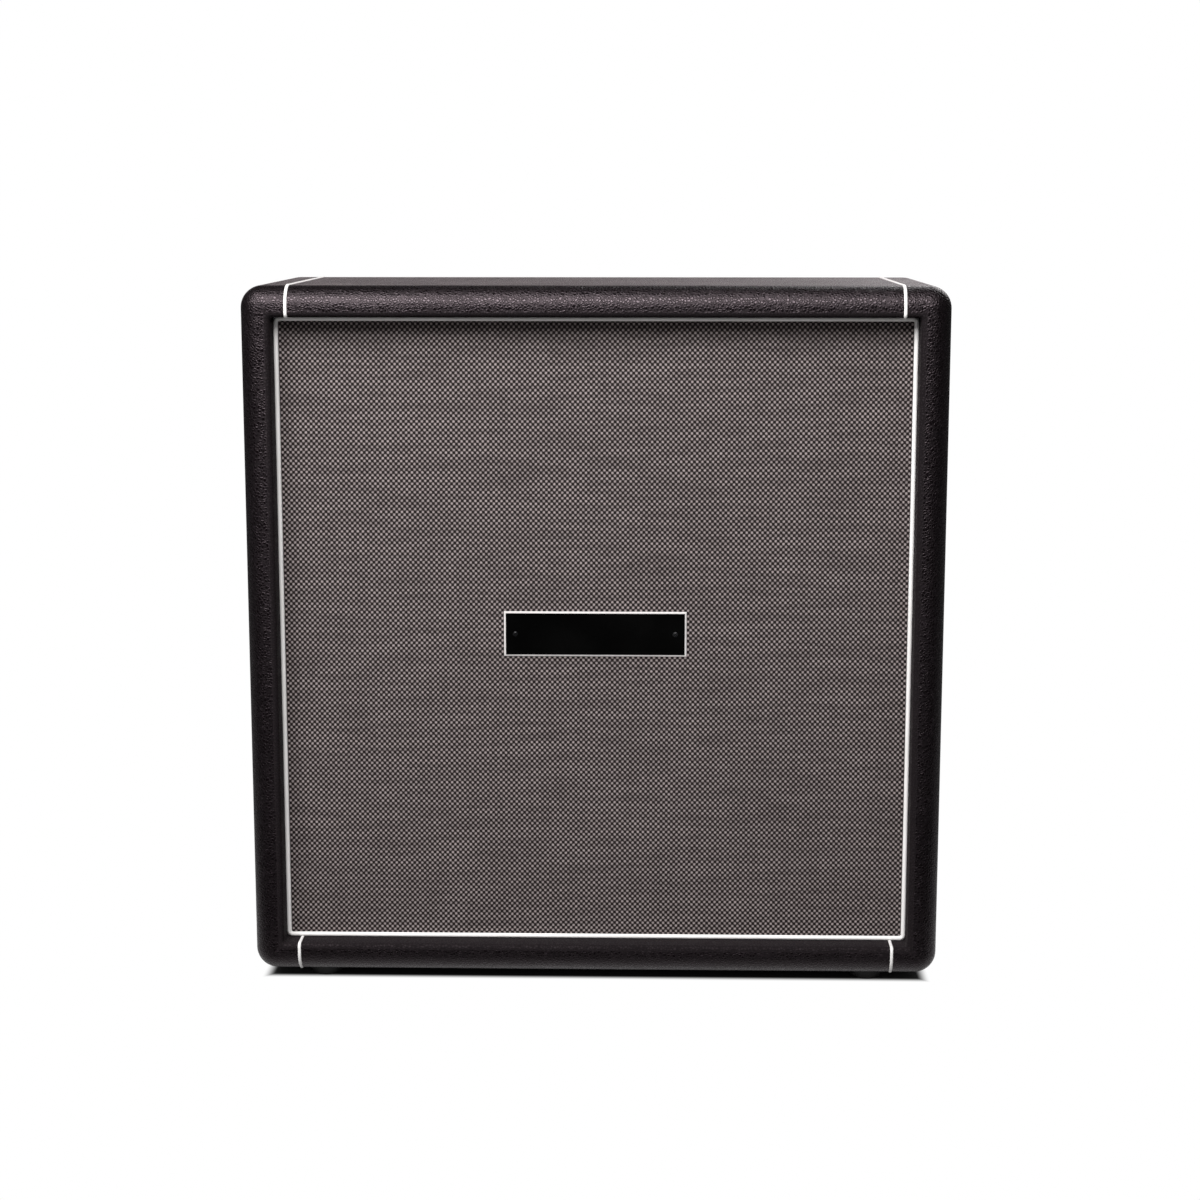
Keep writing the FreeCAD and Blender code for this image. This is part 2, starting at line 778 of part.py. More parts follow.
def rounded_pan(shrink):
    """The pan's form, smaller by this wall thickness all round."""
    x1 = width / 2 + handle_steel
    half_y = pan_width / 2 - shrink
    half_z = pan_height / 2 - shrink
    x0 = x1 - pan_depth + shrink
    pan = box(x0, x1, -half_y, half_y, z_handle - half_z, z_handle + half_z)
    pan = pan.makeFillet(pan_corner - shrink, edges_along(pan, Vector(1, 0, 0)))
    return pan.makeFillet(pan_floor_round - shrink, edges_in_plane(pan, Vector(1, 0, 0), x0))


def pivot_place():
    """X and Z of the bail's pivot."""
    return width / 2 + handle_steel - bail_depth, z_handle + bail_pivot_rise


def handle_dish():
    """A pressed steel plate with a pan, and a lug at each end of the pan that carries the bail."""
    x0 = width / 2
    half_y = handle_plate_width / 2
    half_z = handle_plate_height / 2
    plate = box(x0, x0 + handle_steel, -half_y, half_y, z_handle - half_z, z_handle + half_z)
    plate = plate.makeFillet(handle_plate_corner, edges_along(plate, Vector(1, 0, 0)))
    dish = plate.fuse(rounded_pan(0)).cut(rounded_pan(handle_steel))
    pivot_x, pivot_z = pivot_place()
    x_floor = x0 + handle_steel - pan_depth
    inner = pan_width / 2 - handle_steel
    for side in (-1, 1):
        y0, y1 = sorted((side * (inner - lug_thickness), side * (inner + handle_steel / 2)))
        lug = box(x_floor + handle_steel / 2, pivot_x, y0, y1, pivot_z - lug_radius, pivot_z + lug_radius)
        lug = lug.fuse(rod_y(lug_radius, y0, y1, pivot_x, pivot_z))
        y0, y1 = sorted((side * (inner - lug_thickness), side * inner))
        dish = dish.fuse(lug).cut(rod_y(bail_radius + pivot_clearance, y0, y1, pivot_x, pivot_z))
    radius = handle_screw_radius + hole_clearance
    holes = [rod_x(radius, x0, x0 + handle_steel, y, z) for y, z in handle_screw_places()]
    return dish.cut(holes).removeSplitter()


def handle_bail():
    """A round bar bent to a U, with its ends turned out into the lugs."""
    pivot_x, pivot_z = pivot_place()
    z_grip = pivot_z - bail_arm
    y_end = pan_width / 2 - handle_steel - bail_end_gap
    slant = bail_bend * (1 - math.sqrt(0.5))

    def at(y, z):
        return Vector(pivot_x, y, z)

    edges = []
    start = at(-y_end, pivot_z)
    bends = [(-1, pivot_z, -1), (-1, z_grip, 1), (1, z_grip, 1), (1, pivot_z, -1)]
    for side, z, upright in bends:
        y = side * bail_arm_spread
        out = -1 if upright > 0 else 1
        beside = at(y + side * out * bail_bend, z)
        along = at(y, z + upright * bail_bend)
        middle = at(y + side * out * slant, z + upright * slant)
        first, last = (beside, along) if (upright < 0) == (side < 0) else (along, beside)
        edges.append(Part.LineSegment(start, first).toShape())
        edges.append(Part.Arc(first, middle, last).toShape())
        start = last
    edges.append(Part.LineSegment(start, at(y_end, pivot_z)).toShape())
    path = Part.Wire(edges)
    section = Part.Wire(Part.makeCircle(bail_radius, at(-y_end, pivot_z), Vector(0, 1, 0)))
    return path.makePipeShell([section], True, False)


def handle_grip():
    """A sleeve on the bail's straight bar."""
    pivot_x, pivot_z = pivot_place()
    z_grip = pivot_z - bail_arm
    half = grip_length / 2
    grip = rod_y(grip_radius, -half, half, pivot_x, z_grip)
    ends = edges_in_plane(grip, Vector(0, 1, 0), half) + edges_in_plane(grip, Vector(0, 1, 0), -half)
    grip = grip.makeFillet(grip_round, ends)
    return grip.cut(rod_y(bail_radius + grip_clearance, -half, half, pivot_x, z_grip))


def handle_screws():
    made = []
    x0 = width / 2 + handle_steel
    for y, z in handle_screw_places():
        shank = rod_x(handle_screw_radius, width / 2 - handle_screw_bite, x0, y, z)
        head = rod_x(handle_screw_head_radius, x0, x0 + handle_screw_head_height, y, z)
        head = head.makeFillet(handle_screw_head_height / 2, edges_in_plane(
            head, Vector(1, 0, 0), x0 + handle_screw_head_height))
        made.append(shank.fuse(head).removeSplitter())
    return made


def mirrored(shape):
    return shape.mirror(Vector(0, 0, 0), Vector(1, 0, 0))


def handle_pieces():
    made = {}
    for name, shape in (("dish", handle_dish()), ("bail", handle_bail()), ("grip", handle_grip())):
        made["right_handle_" + name] = shape
        made["left_handle_" + name] = mirrored(shape)
    screws = handle_screws()
    made["handle_screws"] = Part.makeCompound(screws + [mirrored(s) for s in screws])
    return made


# Drivers

def speaker_basket(centre):
    """A pressed steel basket: mounting flange, open sides, a ledge for the spider and a flat floor."""
    near = gasket
    line = [
        (flange_radius, near), (basket_rim_radius, near),
        (basket_throat_radius, basket_throat_depth), (basket_floor_radius, basket_throat_depth),
        (basket_floor_radius, basket_floor_depth), (basket_hole_radius, basket_floor_depth),
    ]
    outer = [
        (basket_hole_radius, basket_floor_depth + basket_steel),
        (basket_floor_radius + basket_steel, basket_floor_depth + basket_steel),
        (basket_floor_radius + basket_steel, basket_throat_depth + basket_steel),
        (basket_throat_radius + basket_steel, basket_throat_depth + basket_steel),
        (basket_rim_radius + basket_steel, near + basket_steel),
        (flange_radius, near + basket_steel),
    ]
    basket = turned(line + outer, centre)
    x, z = centre
    cuts = []
    for i in range(window_count):
        window = box(
            x + basket_floor_radius, x + flange_radius,
            y_mount + window_near_depth, y_mount + window_far_depth,
            z - window_width / 2, z + window_width / 2,
        )
        window.rotate(Vector(x, 0, z), Vector(0, 1, 0), 360 * i / window_count)
        cuts.append(window)
    y0 = y_mount + near
    for bx, bz in bolt_places(centre):
        cuts.append(rod_y(bolt_radius + hole_clearance, y0, y0 + basket_steel, bx, bz))
    return basket.cut(cuts)


def speaker_gasket(centre):
    ring = rod_y(flange_radius, y_mount, y_mount + gasket, *centre)
    cuts = [rod_y(gasket_inner_radius, y_mount, y_mount + gasket, *centre)]
    for x, z in bolt_places(centre):
        cuts.append(rod_y(bolt_radius + hole_clearance, y_mount, y_mount + gasket, x, z))
    return ring.cut(cuts)


def speaker_motor(centre):
    """Front plate, ring magnet, and yoke with its pole."""
    d0 = basket_floor_depth + basket_steel
    d1 = yoke_depth
    plate = turned([(gap_radius, d0), (front_plate_radius, d0),
                    (front_plate_radius, magnet_depth), (gap_radius, magnet_depth)], centre)
    ring = turned([(magnet_inner_radius, magnet_depth), (magnet_radius, magnet_depth),
                   (magnet_radius, d1), (magnet_inner_radius, d1)], centre)
    yoke = turned([(0, d0 - pole_rise), (pole_radius, d0 - pole_rise), (pole_radius, d1),
                   (yoke_radius, d1), (yoke_radius, d1 + yoke_plate), (0, d1 + yoke_plate)], centre)
    return plate, ring, yoke


def cone_throat_radius():
    return coil_radius + former


def speaker_cone(centre):
    """A bowed paper cone, and the dust cap over its throat."""
    steps = 8
    line = []
    for i in range(steps + 1):
        t = i / steps
        r = cone_mouth_radius + t * (cone_throat_radius() - cone_mouth_radius)
        d = cone_mouth_depth + t * (cone_throat_depth - cone_mouth_depth)
        line.append((r, d - cone_bow * 4 * t * (1 - t)))
    cone = turned(thick_line(line, cone_paper), centre)
    share = (cone_mouth_radius - dust_cap_radius) / (cone_mouth_radius - cone_throat_radius())
    seat = cone_mouth_depth + share * (cone_throat_depth - cone_mouth_depth)
    seat -= cone_bow * 4 * share * (1 - share)
    cap_line = []
    for i in range(steps + 1):
        angle = math.pi / 2 * i / steps
        crown = seat - cone_paper - dust_cap_rise * math.sin(angle)
        cap_line.append((dust_cap_radius * math.cos(angle), crown))
    cap_line[-1] = (0, cap_line[-1][1])
    cap = turned(thick_line(cap_line, cone_paper), centre)
    return Part.makeCompound([cone, cap.cut(cone)])


def voice_coil(centre):
    """A thin former that reaches into the gap, with its winding at the far end."""
    d1 = gap_middle + winding_height / 2
    inner = coil_radius
    outer = coil_radius + former
    tube_wall = turned([(inner, cone_throat_depth - coil_tail), (outer, cone_throat_depth - coil_tail),
                        (outer, d1), (inner, d1)], centre)
    tube_wall = tube_wall.cut(speaker_cone(centre))
    wire = turned([(outer, d1 - winding_height), (outer + winding, d1 - winding_height),
                   (outer + winding, d1), (outer, d1)], centre)
    return Part.makeCompound([max(tube_wall.Solids, key=lambda s: s.Volume), wire])


def rolled_line(r0, r1, d0, d1, rolls, rise):
    """A line from r0 to r1 with shallow rolls along it."""
    steps = 2 * rolls
    line = [(r0, d0)]
    for i in range(1, steps):
        t = i / steps
        bump = rise / 2 if i % 2 else -rise / 2
        line.append((r0 + t * (r1 - r0), d0 + t * (d1 - d0) + bump))
    return line + [(r1, d1)]


def speaker_surround(centre):
    """The rolled edge between the basket's flange and the cone."""
    rim = gasket - surround_paper
    r_out = gasket_inner_radius - hole_clearance
    r_in = basket_rim_radius - surround_paper
    line = [(r_out, rim), (r_in, rim)]
    line += rolled_line(r_in - surround_rim_width / 2, cone_mouth_radius + surround_paper,
                        rim, cone_mouth_depth, surround_rolls, surround_rim_width / 4)
    return turned(thick_line(line, surround_paper), centre)


def speaker_spider(centre):
    """The rolled cloth disc that centres the coil, seated on the basket's ledge."""
    seat = basket_throat_depth - spider_cloth
    r_out = basket_throat_radius - spider_roll_height
    line = [(r_out, seat), (basket_floor_radius, seat)]
    line += rolled_line(basket_floor_radius - spider_roll_height, coil_radius + former + hole_clearance,
                        seat, seat, spider_rolls, spider_roll_height)[1:]
    return turned(thick_line(line, spider_cloth), centre)


def terminal_frame(centre):
    """Unit directions of a driver's terminal strip: towards the cabinet's middle, and along the strip."""
    x, z = centre
    inward = Vector(-x, 0, z_mid - z).normalize()
    return inward, Vector(inward.z, 0, -inward.x)


def terminal_tag_ends(centre):
    """The rear ends of a driver's two solder tags."""
    x, z = centre
    inward, along = terminal_frame(centre)
    depth_end = gasket + basket_steel + terminal_thickness + terminal_tag_length
    middle = Vector(x, y_mount + depth_end, z) + inward * bolt_circle_radius
    return [middle + along * (s * terminal_tag_spread / 2) for s in (-1, 1)]


def plate_at(middle, along, length, inward, height_across, y0, y1):
    """A block across Y, turned to lie along a direction in the XZ plane."""
    a = along * (length / 2)
    b = inward * (height_across / 2)
    base = Vector(middle.x, y0, middle.z)
    points = [base + a + b, base - a + b, base - a - b, base + a - b]
    return Part.Face(Part.makePolygon(points + points[:1])).extrude(Vector(0, y1 - y0, 0))


def speaker_terminal(centre):
    """A small strip on the rear of the flange that carries two solder tags."""
    inward, along = terminal_frame(centre)
    y0 = y_mount + gasket + basket_steel
    y1 = y0 + terminal_thickness
    middle = Vector(centre[0], 0, centre[1]) + inward * bolt_circle_radius
    strip = plate_at(middle, along, terminal_width, inward, terminal_height, y0, y1)
    for end in terminal_tag_ends(centre):
        tag = plate_at(end, along, terminal_tag_width, inward, terminal_tag_thickness, y1, end.y)
        strip = strip.fuse(tag)
    return strip.removeSplitter()


def speaker_bolts():
    """Bolts from the front of the baffle through gasket and flange, each with its nut."""
    made = []
    y_flange = y_mount + gasket + basket_steel
    for centre in speaker_centres:
        for x, z in bolt_places(centre):
            head = rod_y(bolt_head_radius, y_baffle, y_baffle + bolt_head_height, x, z)
            shank = rod_y(bolt_radius, y_baffle, y_flange + bolt_nut_height + bolt_tail, x, z)
            nut = hex_y(bolt_nut_flats, y_flange, y_flange + bolt_nut_height, x, z)
            nut = nut.cut(rod_y(bolt_radius + hole_clearance, y_flange, y_flange + bolt_nut_height, x, z))
            made.append(head.fuse(shank).removeSplitter())
            made.append(nut)
    return Part.makeCompound(made)


def lead(start, start_way, end, end_way, bow):
    """One wire that leaves both tags squarely and bows to one side between them."""
    near = start + start_way * wire_lead_out
    far = end + end_way * wire_lead_out
    middle = (near + far) / 2 + bow
    return tube([start, near, middle, far, end], wire_radius)


def speaker_wiring():
    """Two pairs of drivers in series, both pairs fed by the first jack, with the second jack in parallel."""
    rear = Vector(0, 1, 0)
    front = Vector(0, -1, 0)
    bow = rear * wire_lead_out
    up = Vector(0, 0, wire_lead_out)
    tags = [terminal_tag_ends(c) for c in speaker_centres]
    shift = [terminal_frame(c)[1] * (wire_radius + hole_clearance) for c in speaker_centres]
    y_tag = y_back_skin - jack_body_length - jack_tag_length
    lift = Vector(0, 0, wire_radius + hole_clearance)
    feed = [Vector(x, y_tag, z) for x, z in jack_tag_places(-jack_spread / 2)]
    link = [Vector(x, y_tag, z) for x, z in jack_tag_places(jack_spread / 2)]
    return Part.makeCompound([
        lead(tags[0][0], rear, tags[1][1], rear, bow + up),
        lead(tags[2][1], rear, tags[3][0], rear, bow - up),
        lead(tags[2][0] - shift[2], rear, tags[0][1], rear, bow),
        lead(tags[3][1] + shift[3], rear, tags[1][0], rear, bow),
        lead(feed[0] - lift, front, tags[2][0] + shift[2], rear, -up),
        lead(feed[1] + lift, front, tags[3][1] - shift[3], rear, -up),
        lead(feed[0] + lift, front, link[0] + lift, front, up - bow),
        lead(feed[1] - lift, front, link[1] - lift, front, -up - bow),
    ])


def speaker_pieces():
    motors = [speaker_motor(c) for c in speaker_centres]
    made = {
        "speaker_baskets": Part.makeCompound([speaker_basket(c) for c in speaker_centres]),
        "speaker_gaskets": Part.makeCompound([speaker_gasket(c) for c in speaker_centres]),
        "speaker_front_plates": Part.makeCompound([m[0] for m in motors]),
        "speaker_magnets": Part.makeCompound([m[1] for m in motors]),
        "speaker_yokes": Part.makeCompound([m[2] for m in motors]),
        "speaker_terminals": Part.makeCompound([speaker_terminal(c) for c in speaker_centres]),
        "speaker_bolts": speaker_bolts(),
        "speaker_wiring": speaker_wiring(),
    }
    for number, centre in enumerate(speaker_centres, 1):
        made[f"cone_{number}"] = speaker_cone(centre)
        made[f"voice_coil_{number}"] = voice_coil(centre)
        made[f"surround_{number}"] = speaker_surround(centre)
        made[f"spider_{number}"] = speaker_spider(centre)
    return made


def all_pieces():
    wood = shell_form(vinyl)
    holes = shell_screw_holes()
    made = {}
    made.update(shell_panels(wood, holes))
    made["front_lip_battens"] = lip_battens(wood)
    made.update(covering(wood, holes))
    made["seam_piping"] = seam_piping()
    made["grille_piping"] = grille_piping()
    made["grille_cloth"] = grille_cloth()
    made["baffle_board"] = baffle_board()
    made["baffle_screws"] = baffle_screws()
    made.update(badge_pieces())
    made.update(back_pieces())
    made["back_panel_screws"] = back_screws()
    made["centre_brace"] = centre_brace()
    made["jack_plate"] = jack_plate()
    made["input_jack"] = jack(-jack_spread / 2)
    made["link_jack"] = jack(jack_spread / 2)
    made["jack_plate_screws"] = jack_plate_screws()
    made["rubber_feet"] = rubber_feet()
    made["foot_screws"] = foot_screws()
    made.update(handle_pieces())
    made.update(speaker_pieces())
    return made


os.makedirs("parts", exist_ok=True)
for name, shape in all_pieces().items():
    shape.exportStep(f"parts/{name}.step")
    print(name, len(shape.Solids), "solids", round(shape.Volume / 1000, 1), "cm3", shape.isValid())
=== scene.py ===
# %% [markdown]
# # A closed-back guitar speaker cabinet
#
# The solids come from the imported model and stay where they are. This lesson dresses them: a camera at
# the photograph's angle, a white studio, grained leathercloth, white piping, a woven grille cloth with
# real relief, screws with cross recesses, and ribs on the carrying grips. Lengths are in metres.

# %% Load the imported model
import json
import math

import bmesh
import bpy
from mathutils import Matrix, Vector


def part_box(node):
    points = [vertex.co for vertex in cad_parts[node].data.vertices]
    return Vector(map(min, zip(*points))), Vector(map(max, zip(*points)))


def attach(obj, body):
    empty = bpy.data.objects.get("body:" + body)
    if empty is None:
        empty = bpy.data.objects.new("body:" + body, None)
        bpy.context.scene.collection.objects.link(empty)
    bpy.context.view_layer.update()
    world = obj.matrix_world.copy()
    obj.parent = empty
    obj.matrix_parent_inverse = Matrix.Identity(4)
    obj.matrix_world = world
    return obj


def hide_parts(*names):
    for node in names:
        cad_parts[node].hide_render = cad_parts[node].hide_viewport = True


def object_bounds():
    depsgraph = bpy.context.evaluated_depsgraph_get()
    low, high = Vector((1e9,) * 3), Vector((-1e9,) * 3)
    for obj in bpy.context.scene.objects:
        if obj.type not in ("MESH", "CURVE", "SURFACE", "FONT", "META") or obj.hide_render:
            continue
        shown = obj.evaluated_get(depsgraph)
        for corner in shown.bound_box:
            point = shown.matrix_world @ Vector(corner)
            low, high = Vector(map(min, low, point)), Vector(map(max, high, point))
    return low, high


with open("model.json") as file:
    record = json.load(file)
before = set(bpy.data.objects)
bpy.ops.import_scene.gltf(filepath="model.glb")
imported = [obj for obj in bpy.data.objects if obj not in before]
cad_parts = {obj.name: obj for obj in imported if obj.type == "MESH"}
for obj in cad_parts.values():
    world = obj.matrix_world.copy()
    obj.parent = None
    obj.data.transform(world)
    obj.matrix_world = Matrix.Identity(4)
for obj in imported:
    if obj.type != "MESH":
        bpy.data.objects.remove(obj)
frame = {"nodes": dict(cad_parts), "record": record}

cad_low, cad_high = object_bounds()
nodes = frame["nodes"]
scene = bpy.context.scene
scene.view_settings.view_transform = "Standard"
print("CAD box", [round(v, 4) for v in cad_high - cad_low], "with", len(nodes), "nodes")

# %% [markdown]
# ## Camera
#
# The vertical edges of the cabinet converge a little downwards and the flat top just shows, so the
# camera stands slightly above the top and looks down. A fit of the piping, the name plate and the outer
# edges to their places in the photograph gave its place, its tilt and a short telephoto lens. A render
# could be matched by eye instead, but a fit is repeatable.

# %% Place the camera
camera_place = (0.0669, -2.6390, 0.8611)
camera_tilt_down = 0.1692
camera_turn_left = 0.0245
camera_lens_mm = 69.77
camera_sensor_mm = 36.0

camera_data = bpy.data.cameras.new("photo_camera")
camera_data.sensor_width = camera_sensor_mm
camera_data.lens = camera_lens_mm
camera = bpy.data.objects.new("photo_camera", camera_data)
camera.location = camera_place
camera.rotation_euler = (math.pi / 2 - camera_tilt_down, 0.0, camera_turn_left)
scene.collection.objects.link(camera)
scene.camera = camera
print("camera at", camera_place, "with a", camera_lens_mm, "mm lens")

# %% [markdown]
# ## Studio floor and backdrop
#
# The photograph has a pure white ground. Blasting the object with light until the floor clips would
# spoil every colour, so the lamps stay at a plain level, and the floor and the world are white by
# themselves for the rays that see them directly. Under the cabinet the floor keeps the real shadow
# between the feet, and its paint is a darker grey for the camera than for bounced light, a painted
# shadow that deepens it. A shiny black covering would mirror a white room as a pale film. So rays
# from mirrors meet white only straight behind the cabinet, where it brightens the flat top, and meet
# dark surfaces elsewhere, as black flags do in a studio.

# %% Helpers for node trees


def add_node(tree, kind, **values):
    """Adds a node and sets its plain properties, and its inputs where a value's name is one of them."""
    node = tree.nodes.new(kind)
    for name, value in values.items():
        if name in node.inputs:
            node.inputs[name].default_value = value
        else:
            setattr(node, name, value)
    return node


def math_node(tree, operation, first, second=None, third=None):
    """A Math node whose inputs are sockets or numbers; gives its output."""
    node = tree.nodes.new("ShaderNodeMath")
    node.operation = operation
    for i, value in enumerate((first, second, third)):
        if value is None:
            continue
        if isinstance(value, (int, float)):
            node.inputs[i].default_value = value
        else:
            tree.links.new(value, node.inputs[i])
    return node.outputs[0]


def vector_node(tree, operation, first, second=(0, 0, 0)):
    """A Vector Math node on a socket and a plain vector; gives its output."""
    node = add_node(tree, "ShaderNodeVectorMath", operation=operation)
    tree.links.new(first, node.inputs[0])
    node.inputs[1].default_value = second
    return node.outputs[0]


def parts_of(tree, vector):
    """The X, Y and Z outputs of a vector socket."""
    split = tree.nodes.new("ShaderNodeSeparateXYZ")
    tree.links.new(vector, split.inputs[0])
    return split.outputs


def object_place(tree):
    """Object coordinates in metres."""
    return tree.nodes.new("ShaderNodeTexCoord").outputs["Object"]


def smooth_range(tree, value, low, high, to_low=0.0, to_high=1.0):
    """A soft step of a value between two limits."""
    node = add_node(tree, "ShaderNodeMapRange", interpolation_type="SMOOTHSTEP")
    tree.links.new(value, node.inputs["Value"])
    for name, number in (("From Min", low), ("From Max", high), ("To Min", to_low), ("To Max", to_high)):
        node.inputs[name].default_value = number
    return node.outputs["Result"]


def mix_colours(tree, factor, first, second):
    """A colour mix; the two colours are sockets or plain values."""
    node = tree.nodes.new("ShaderNodeMix")
    node.data_type = "RGBA"
    tree.links.new(factor, node.inputs["Factor"])
    for name, value in (("A", first), ("B", second)):
        socket = next(s for s in node.inputs if s.name == name and s.type == "RGBA")
        if isinstance(value, tuple):
            socket.default_value = (*value, 1.0)
        else:
            tree.links.new(value, socket)
    return next(s for s in node.outputs if s.type == "RGBA")


def seen_directly(tree):
    """Two sockets: 1 for rays from the camera, and 1 for rays from mirrors or through glass."""
    path = tree.nodes.new("ShaderNodeLightPath")
    shiny = math_node(tree, "MAXIMUM", path.outputs["Is Glossy Ray"], path.outputs["Is Transmission Ray"])
    return path.outputs["Is Camera Ray"], shiny


print("node helpers ready")

# %% Floor sheet
floor_half = 6.0

floor_mesh = bpy.data.meshes.new("floor")
floor_corners = [(x * floor_half, y * floor_half, 0) for x, y in ((-1, -1), (1, -1), (1, 1), (-1, 1))]
floor_mesh.from_pydata(floor_corners, [], [(0, 1, 2, 3)])
floor = bpy.data.objects.new("floor", floor_mesh)
scene.collection.objects.link(floor)
print("floor", 2 * floor_half, "m wide")

# %% Floor paint that turns white away from the cabinet
# The shadow ends a little inside the cabinet's outline, over a short soft edge.
shadow_reach = 0.014
shadow_inset = (0.022, 0.033)
# Grey for bounced light, darker for the camera as a painted shadow under the cabinet, darkest where mirrors
# look.
floor_paint = (0.25, 0.25, 0.25)
shadow_paint = (0.10, 0.10, 0.10)
flag_paint = (0.02, 0.02, 0.02)
# Limits in Y of the dark floor in front, and in distance from the middle of the white floor behind.
front_flag = (-0.1, -0.22)
side_flags = (0.8, 0.2)


def floor_shares(tree):
    """How white the floor is, how far it counts as in front, and how far as straight behind."""
    place = object_place(tree)
    spread = vector_node(tree, "ABSOLUTE", place)
    shadow_edge = (cad_high.x - shadow_inset[0], cad_high.y - shadow_inset[1], 0)
    past = parts_of(tree, vector_node(tree, "SUBTRACT", spread, shadow_edge))
    away = math_node(tree, "MAXIMUM", past["X"], past["Y"])
    white_share = smooth_range(tree, away, 0.0, shadow_reach)
    in_front = smooth_range(tree, parts_of(tree, place)["Y"], *front_flag)
    straight_behind = smooth_range(tree, parts_of(tree, spread)["X"], *side_flags)
    return white_share, in_front, straight_behind


def floor_material():
    material = bpy.data.materials.new("studio_floor")
    material.use_nodes = True
    tree = material.node_tree
    tree.nodes.clear()
    white_share, in_front, straight_behind = floor_shares(tree)
    camera_ray, shiny_ray = seen_directly(tree)
    flagged = math_node(tree, "MULTIPLY", shiny_ray, in_front)
    not_flagged = math_node(tree, "SUBTRACT", shiny_ray, flagged)
    mirrored = math_node(tree, "MULTIPLY", not_flagged, straight_behind)
    direct = math_node(tree, "MAXIMUM", camera_ray, mirrored)
    paint = tree.nodes.new("ShaderNodeBsdfDiffuse")
    # Painted shadow: the camera sees the floor under the cabinet darker than bounced light finds it.
    paint_seen = mix_colours(tree, camera_ray, floor_paint, shadow_paint)
    tree.links.new(mix_colours(tree, flagged, paint_seen, flag_paint), paint.inputs["Color"])
    glow = add_node(tree, "ShaderNodeEmission", Strength=1.0)
    both = tree.nodes.new("ShaderNodeMixShader")
    tree.links.new(math_node(tree, "MULTIPLY", white_share, direct), both.inputs[0])
    tree.links.new(paint.outputs[0], both.inputs[1])
    tree.links.new(glow.outputs[0], both.inputs[2])
    out = tree.nodes.new("ShaderNodeOutputMaterial")
    tree.links.new(both.outputs[0], out.inputs["Surface"])
    return material


floor_mesh.materials.append(floor_material())
print("floor material", floor_mesh.materials[0].name)

# %% World: white behind the cabinet, a dim room in front of it
room_light = 0.224
room_mirrored = 0.042
backdrop_white = 1.0
# The card that mirrors see is a little pink, like the sheen on the flat top.
mirrored_card = (1.0, 0.88, 0.90)
# Limits of that card, as parts of a ray's direction: backwards, upwards, at the floor and sideways.
card_back = (0.3, 0.8)
card_top = (0.5, 0.15)
card_foot = (-0.03, 0.02)
card_sides = (0.6, 0.25)
card_strength = 0.8

world = bpy.data.worlds.new("studio")
scene.world = world
world.use_nodes = True
world_tree = world.node_tree
world_tree.nodes.clear()
ray = parts_of(world_tree, world_tree.nodes.new("ShaderNodeTexCoord").outputs["Generated"])
sideways = math_node(world_tree, "ABSOLUTE", ray["X"])
card = smooth_range(world_tree, ray["Y"], *card_back)
for share in (
    smooth_range(world_tree, ray["Z"], *card_top),
    smooth_range(world_tree, ray["Z"], *card_foot),
    smooth_range(world_tree, sideways, *card_sides, 0.0, card_strength),
):
    card = math_node(world_tree, "MULTIPLY", card, share)
camera_ray, shiny_ray = seen_directly(world_tree)
card_seen = math_node(world_tree, "MULTIPLY", shiny_ray, card)
white_seen = math_node(world_tree, "MAXIMUM", camera_ray, card_seen)

room = add_node(world_tree, "ShaderNodeBackground", Color=(1, 1, 1, 1))
room_strength = smooth_range(world_tree, shiny_ray, 0.0, 1.0, room_light, room_mirrored)
world_tree.links.new(room_strength, room.inputs["Strength"])
backdrop = add_node(world_tree, "ShaderNodeBackground", Strength=backdrop_white)
backdrop_colour = mix_colours(world_tree, shiny_ray, (1.0, 1.0, 1.0), mirrored_card)
world_tree.links.new(backdrop_colour, backdrop.inputs["Color"])
world_mix = world_tree.nodes.new("ShaderNodeMixShader")
world_tree.links.new(white_seen, world_mix.inputs[0])
world_tree.links.new(room.outputs[0], world_mix.inputs[1])
world_tree.links.new(backdrop.outputs[0], world_mix.inputs[2])
world_out = world_tree.nodes.new("ShaderNodeOutputWorld")
world_tree.links.new(world_mix.outputs[0], world_out.inputs["Surface"])
print("room light", room_light)

# %% [markdown]
# ## Lamps
#
# The rounded top edge has one broad highlight, and the lip throws a soft shadow down the cloth. Both come
# from one wide softbox, high in front and a little to the left. A sun lamp would make the shadow hard. A
# weak second box behind keeps the back from going black when the cabinet is turned round.

# %% Softboxes
softboxes = {
    # name: place, aim, width, height, watts
    "front_softbox": ((-0.6, -1.92, 2.37), (0, -0.14, 0.765), 2.6, 1.38, 137),
    "rear_softbox": ((1.3, 2.2, 2.2), (0, 0.1, 0.4), 1.6, 1.6, 28),
}


def softbox(name, place, aim, width, height, watts):
    data = bpy.data.lights.new(name, "AREA")
    data.shape = "RECTANGLE"
    data.size = width
    data.size_y = height
    data.energy = watts
    lamp = bpy.data.objects.new(name, data)
    lamp.location = place
    lamp.rotation_euler = (Vector(aim) - Vector(place)).to_track_quat("-Z", "Y").to_euler()
    scene.collection.objects.link(lamp)


for lamp_name, lamp_values in softboxes.items():
    softbox(lamp_name, *lamp_values)

# %% [markdown]
# ## Shared finishes
#
# Leathercloth, paint, rubber and metal all need the same few effects: a pebbled grain, and slow smudges
# of colour and gloss. Each is a shader group with named inputs, placed in every material that uses it
# with that material's own values. An image would show the grain too, but would repeat and need a map.

# %% Leathercloth grain group
pebbles_per_metre = 330.0
pebble_edge = 0.28
drift_scale = 190.0
drift_length = 0.0016
fleck_scale = 330.0
fleck_height = 0.45
fleck_limits = (0.52, 0.74)


def new_group(name, inputs, outputs):
    group = bpy.data.node_groups.new(name, "ShaderNodeTree")
    for label, value in inputs:
        socket = group.interface.new_socket(label, in_out="INPUT", socket_type="NodeSocketFloat")
        socket.default_value = value
    for label in outputs:
        group.interface.new_socket(label, in_out="OUTPUT", socket_type="NodeSocketFloat")
    return group, group.nodes.new("NodeGroupInput"), group.nodes.new("NodeGroupOutput")


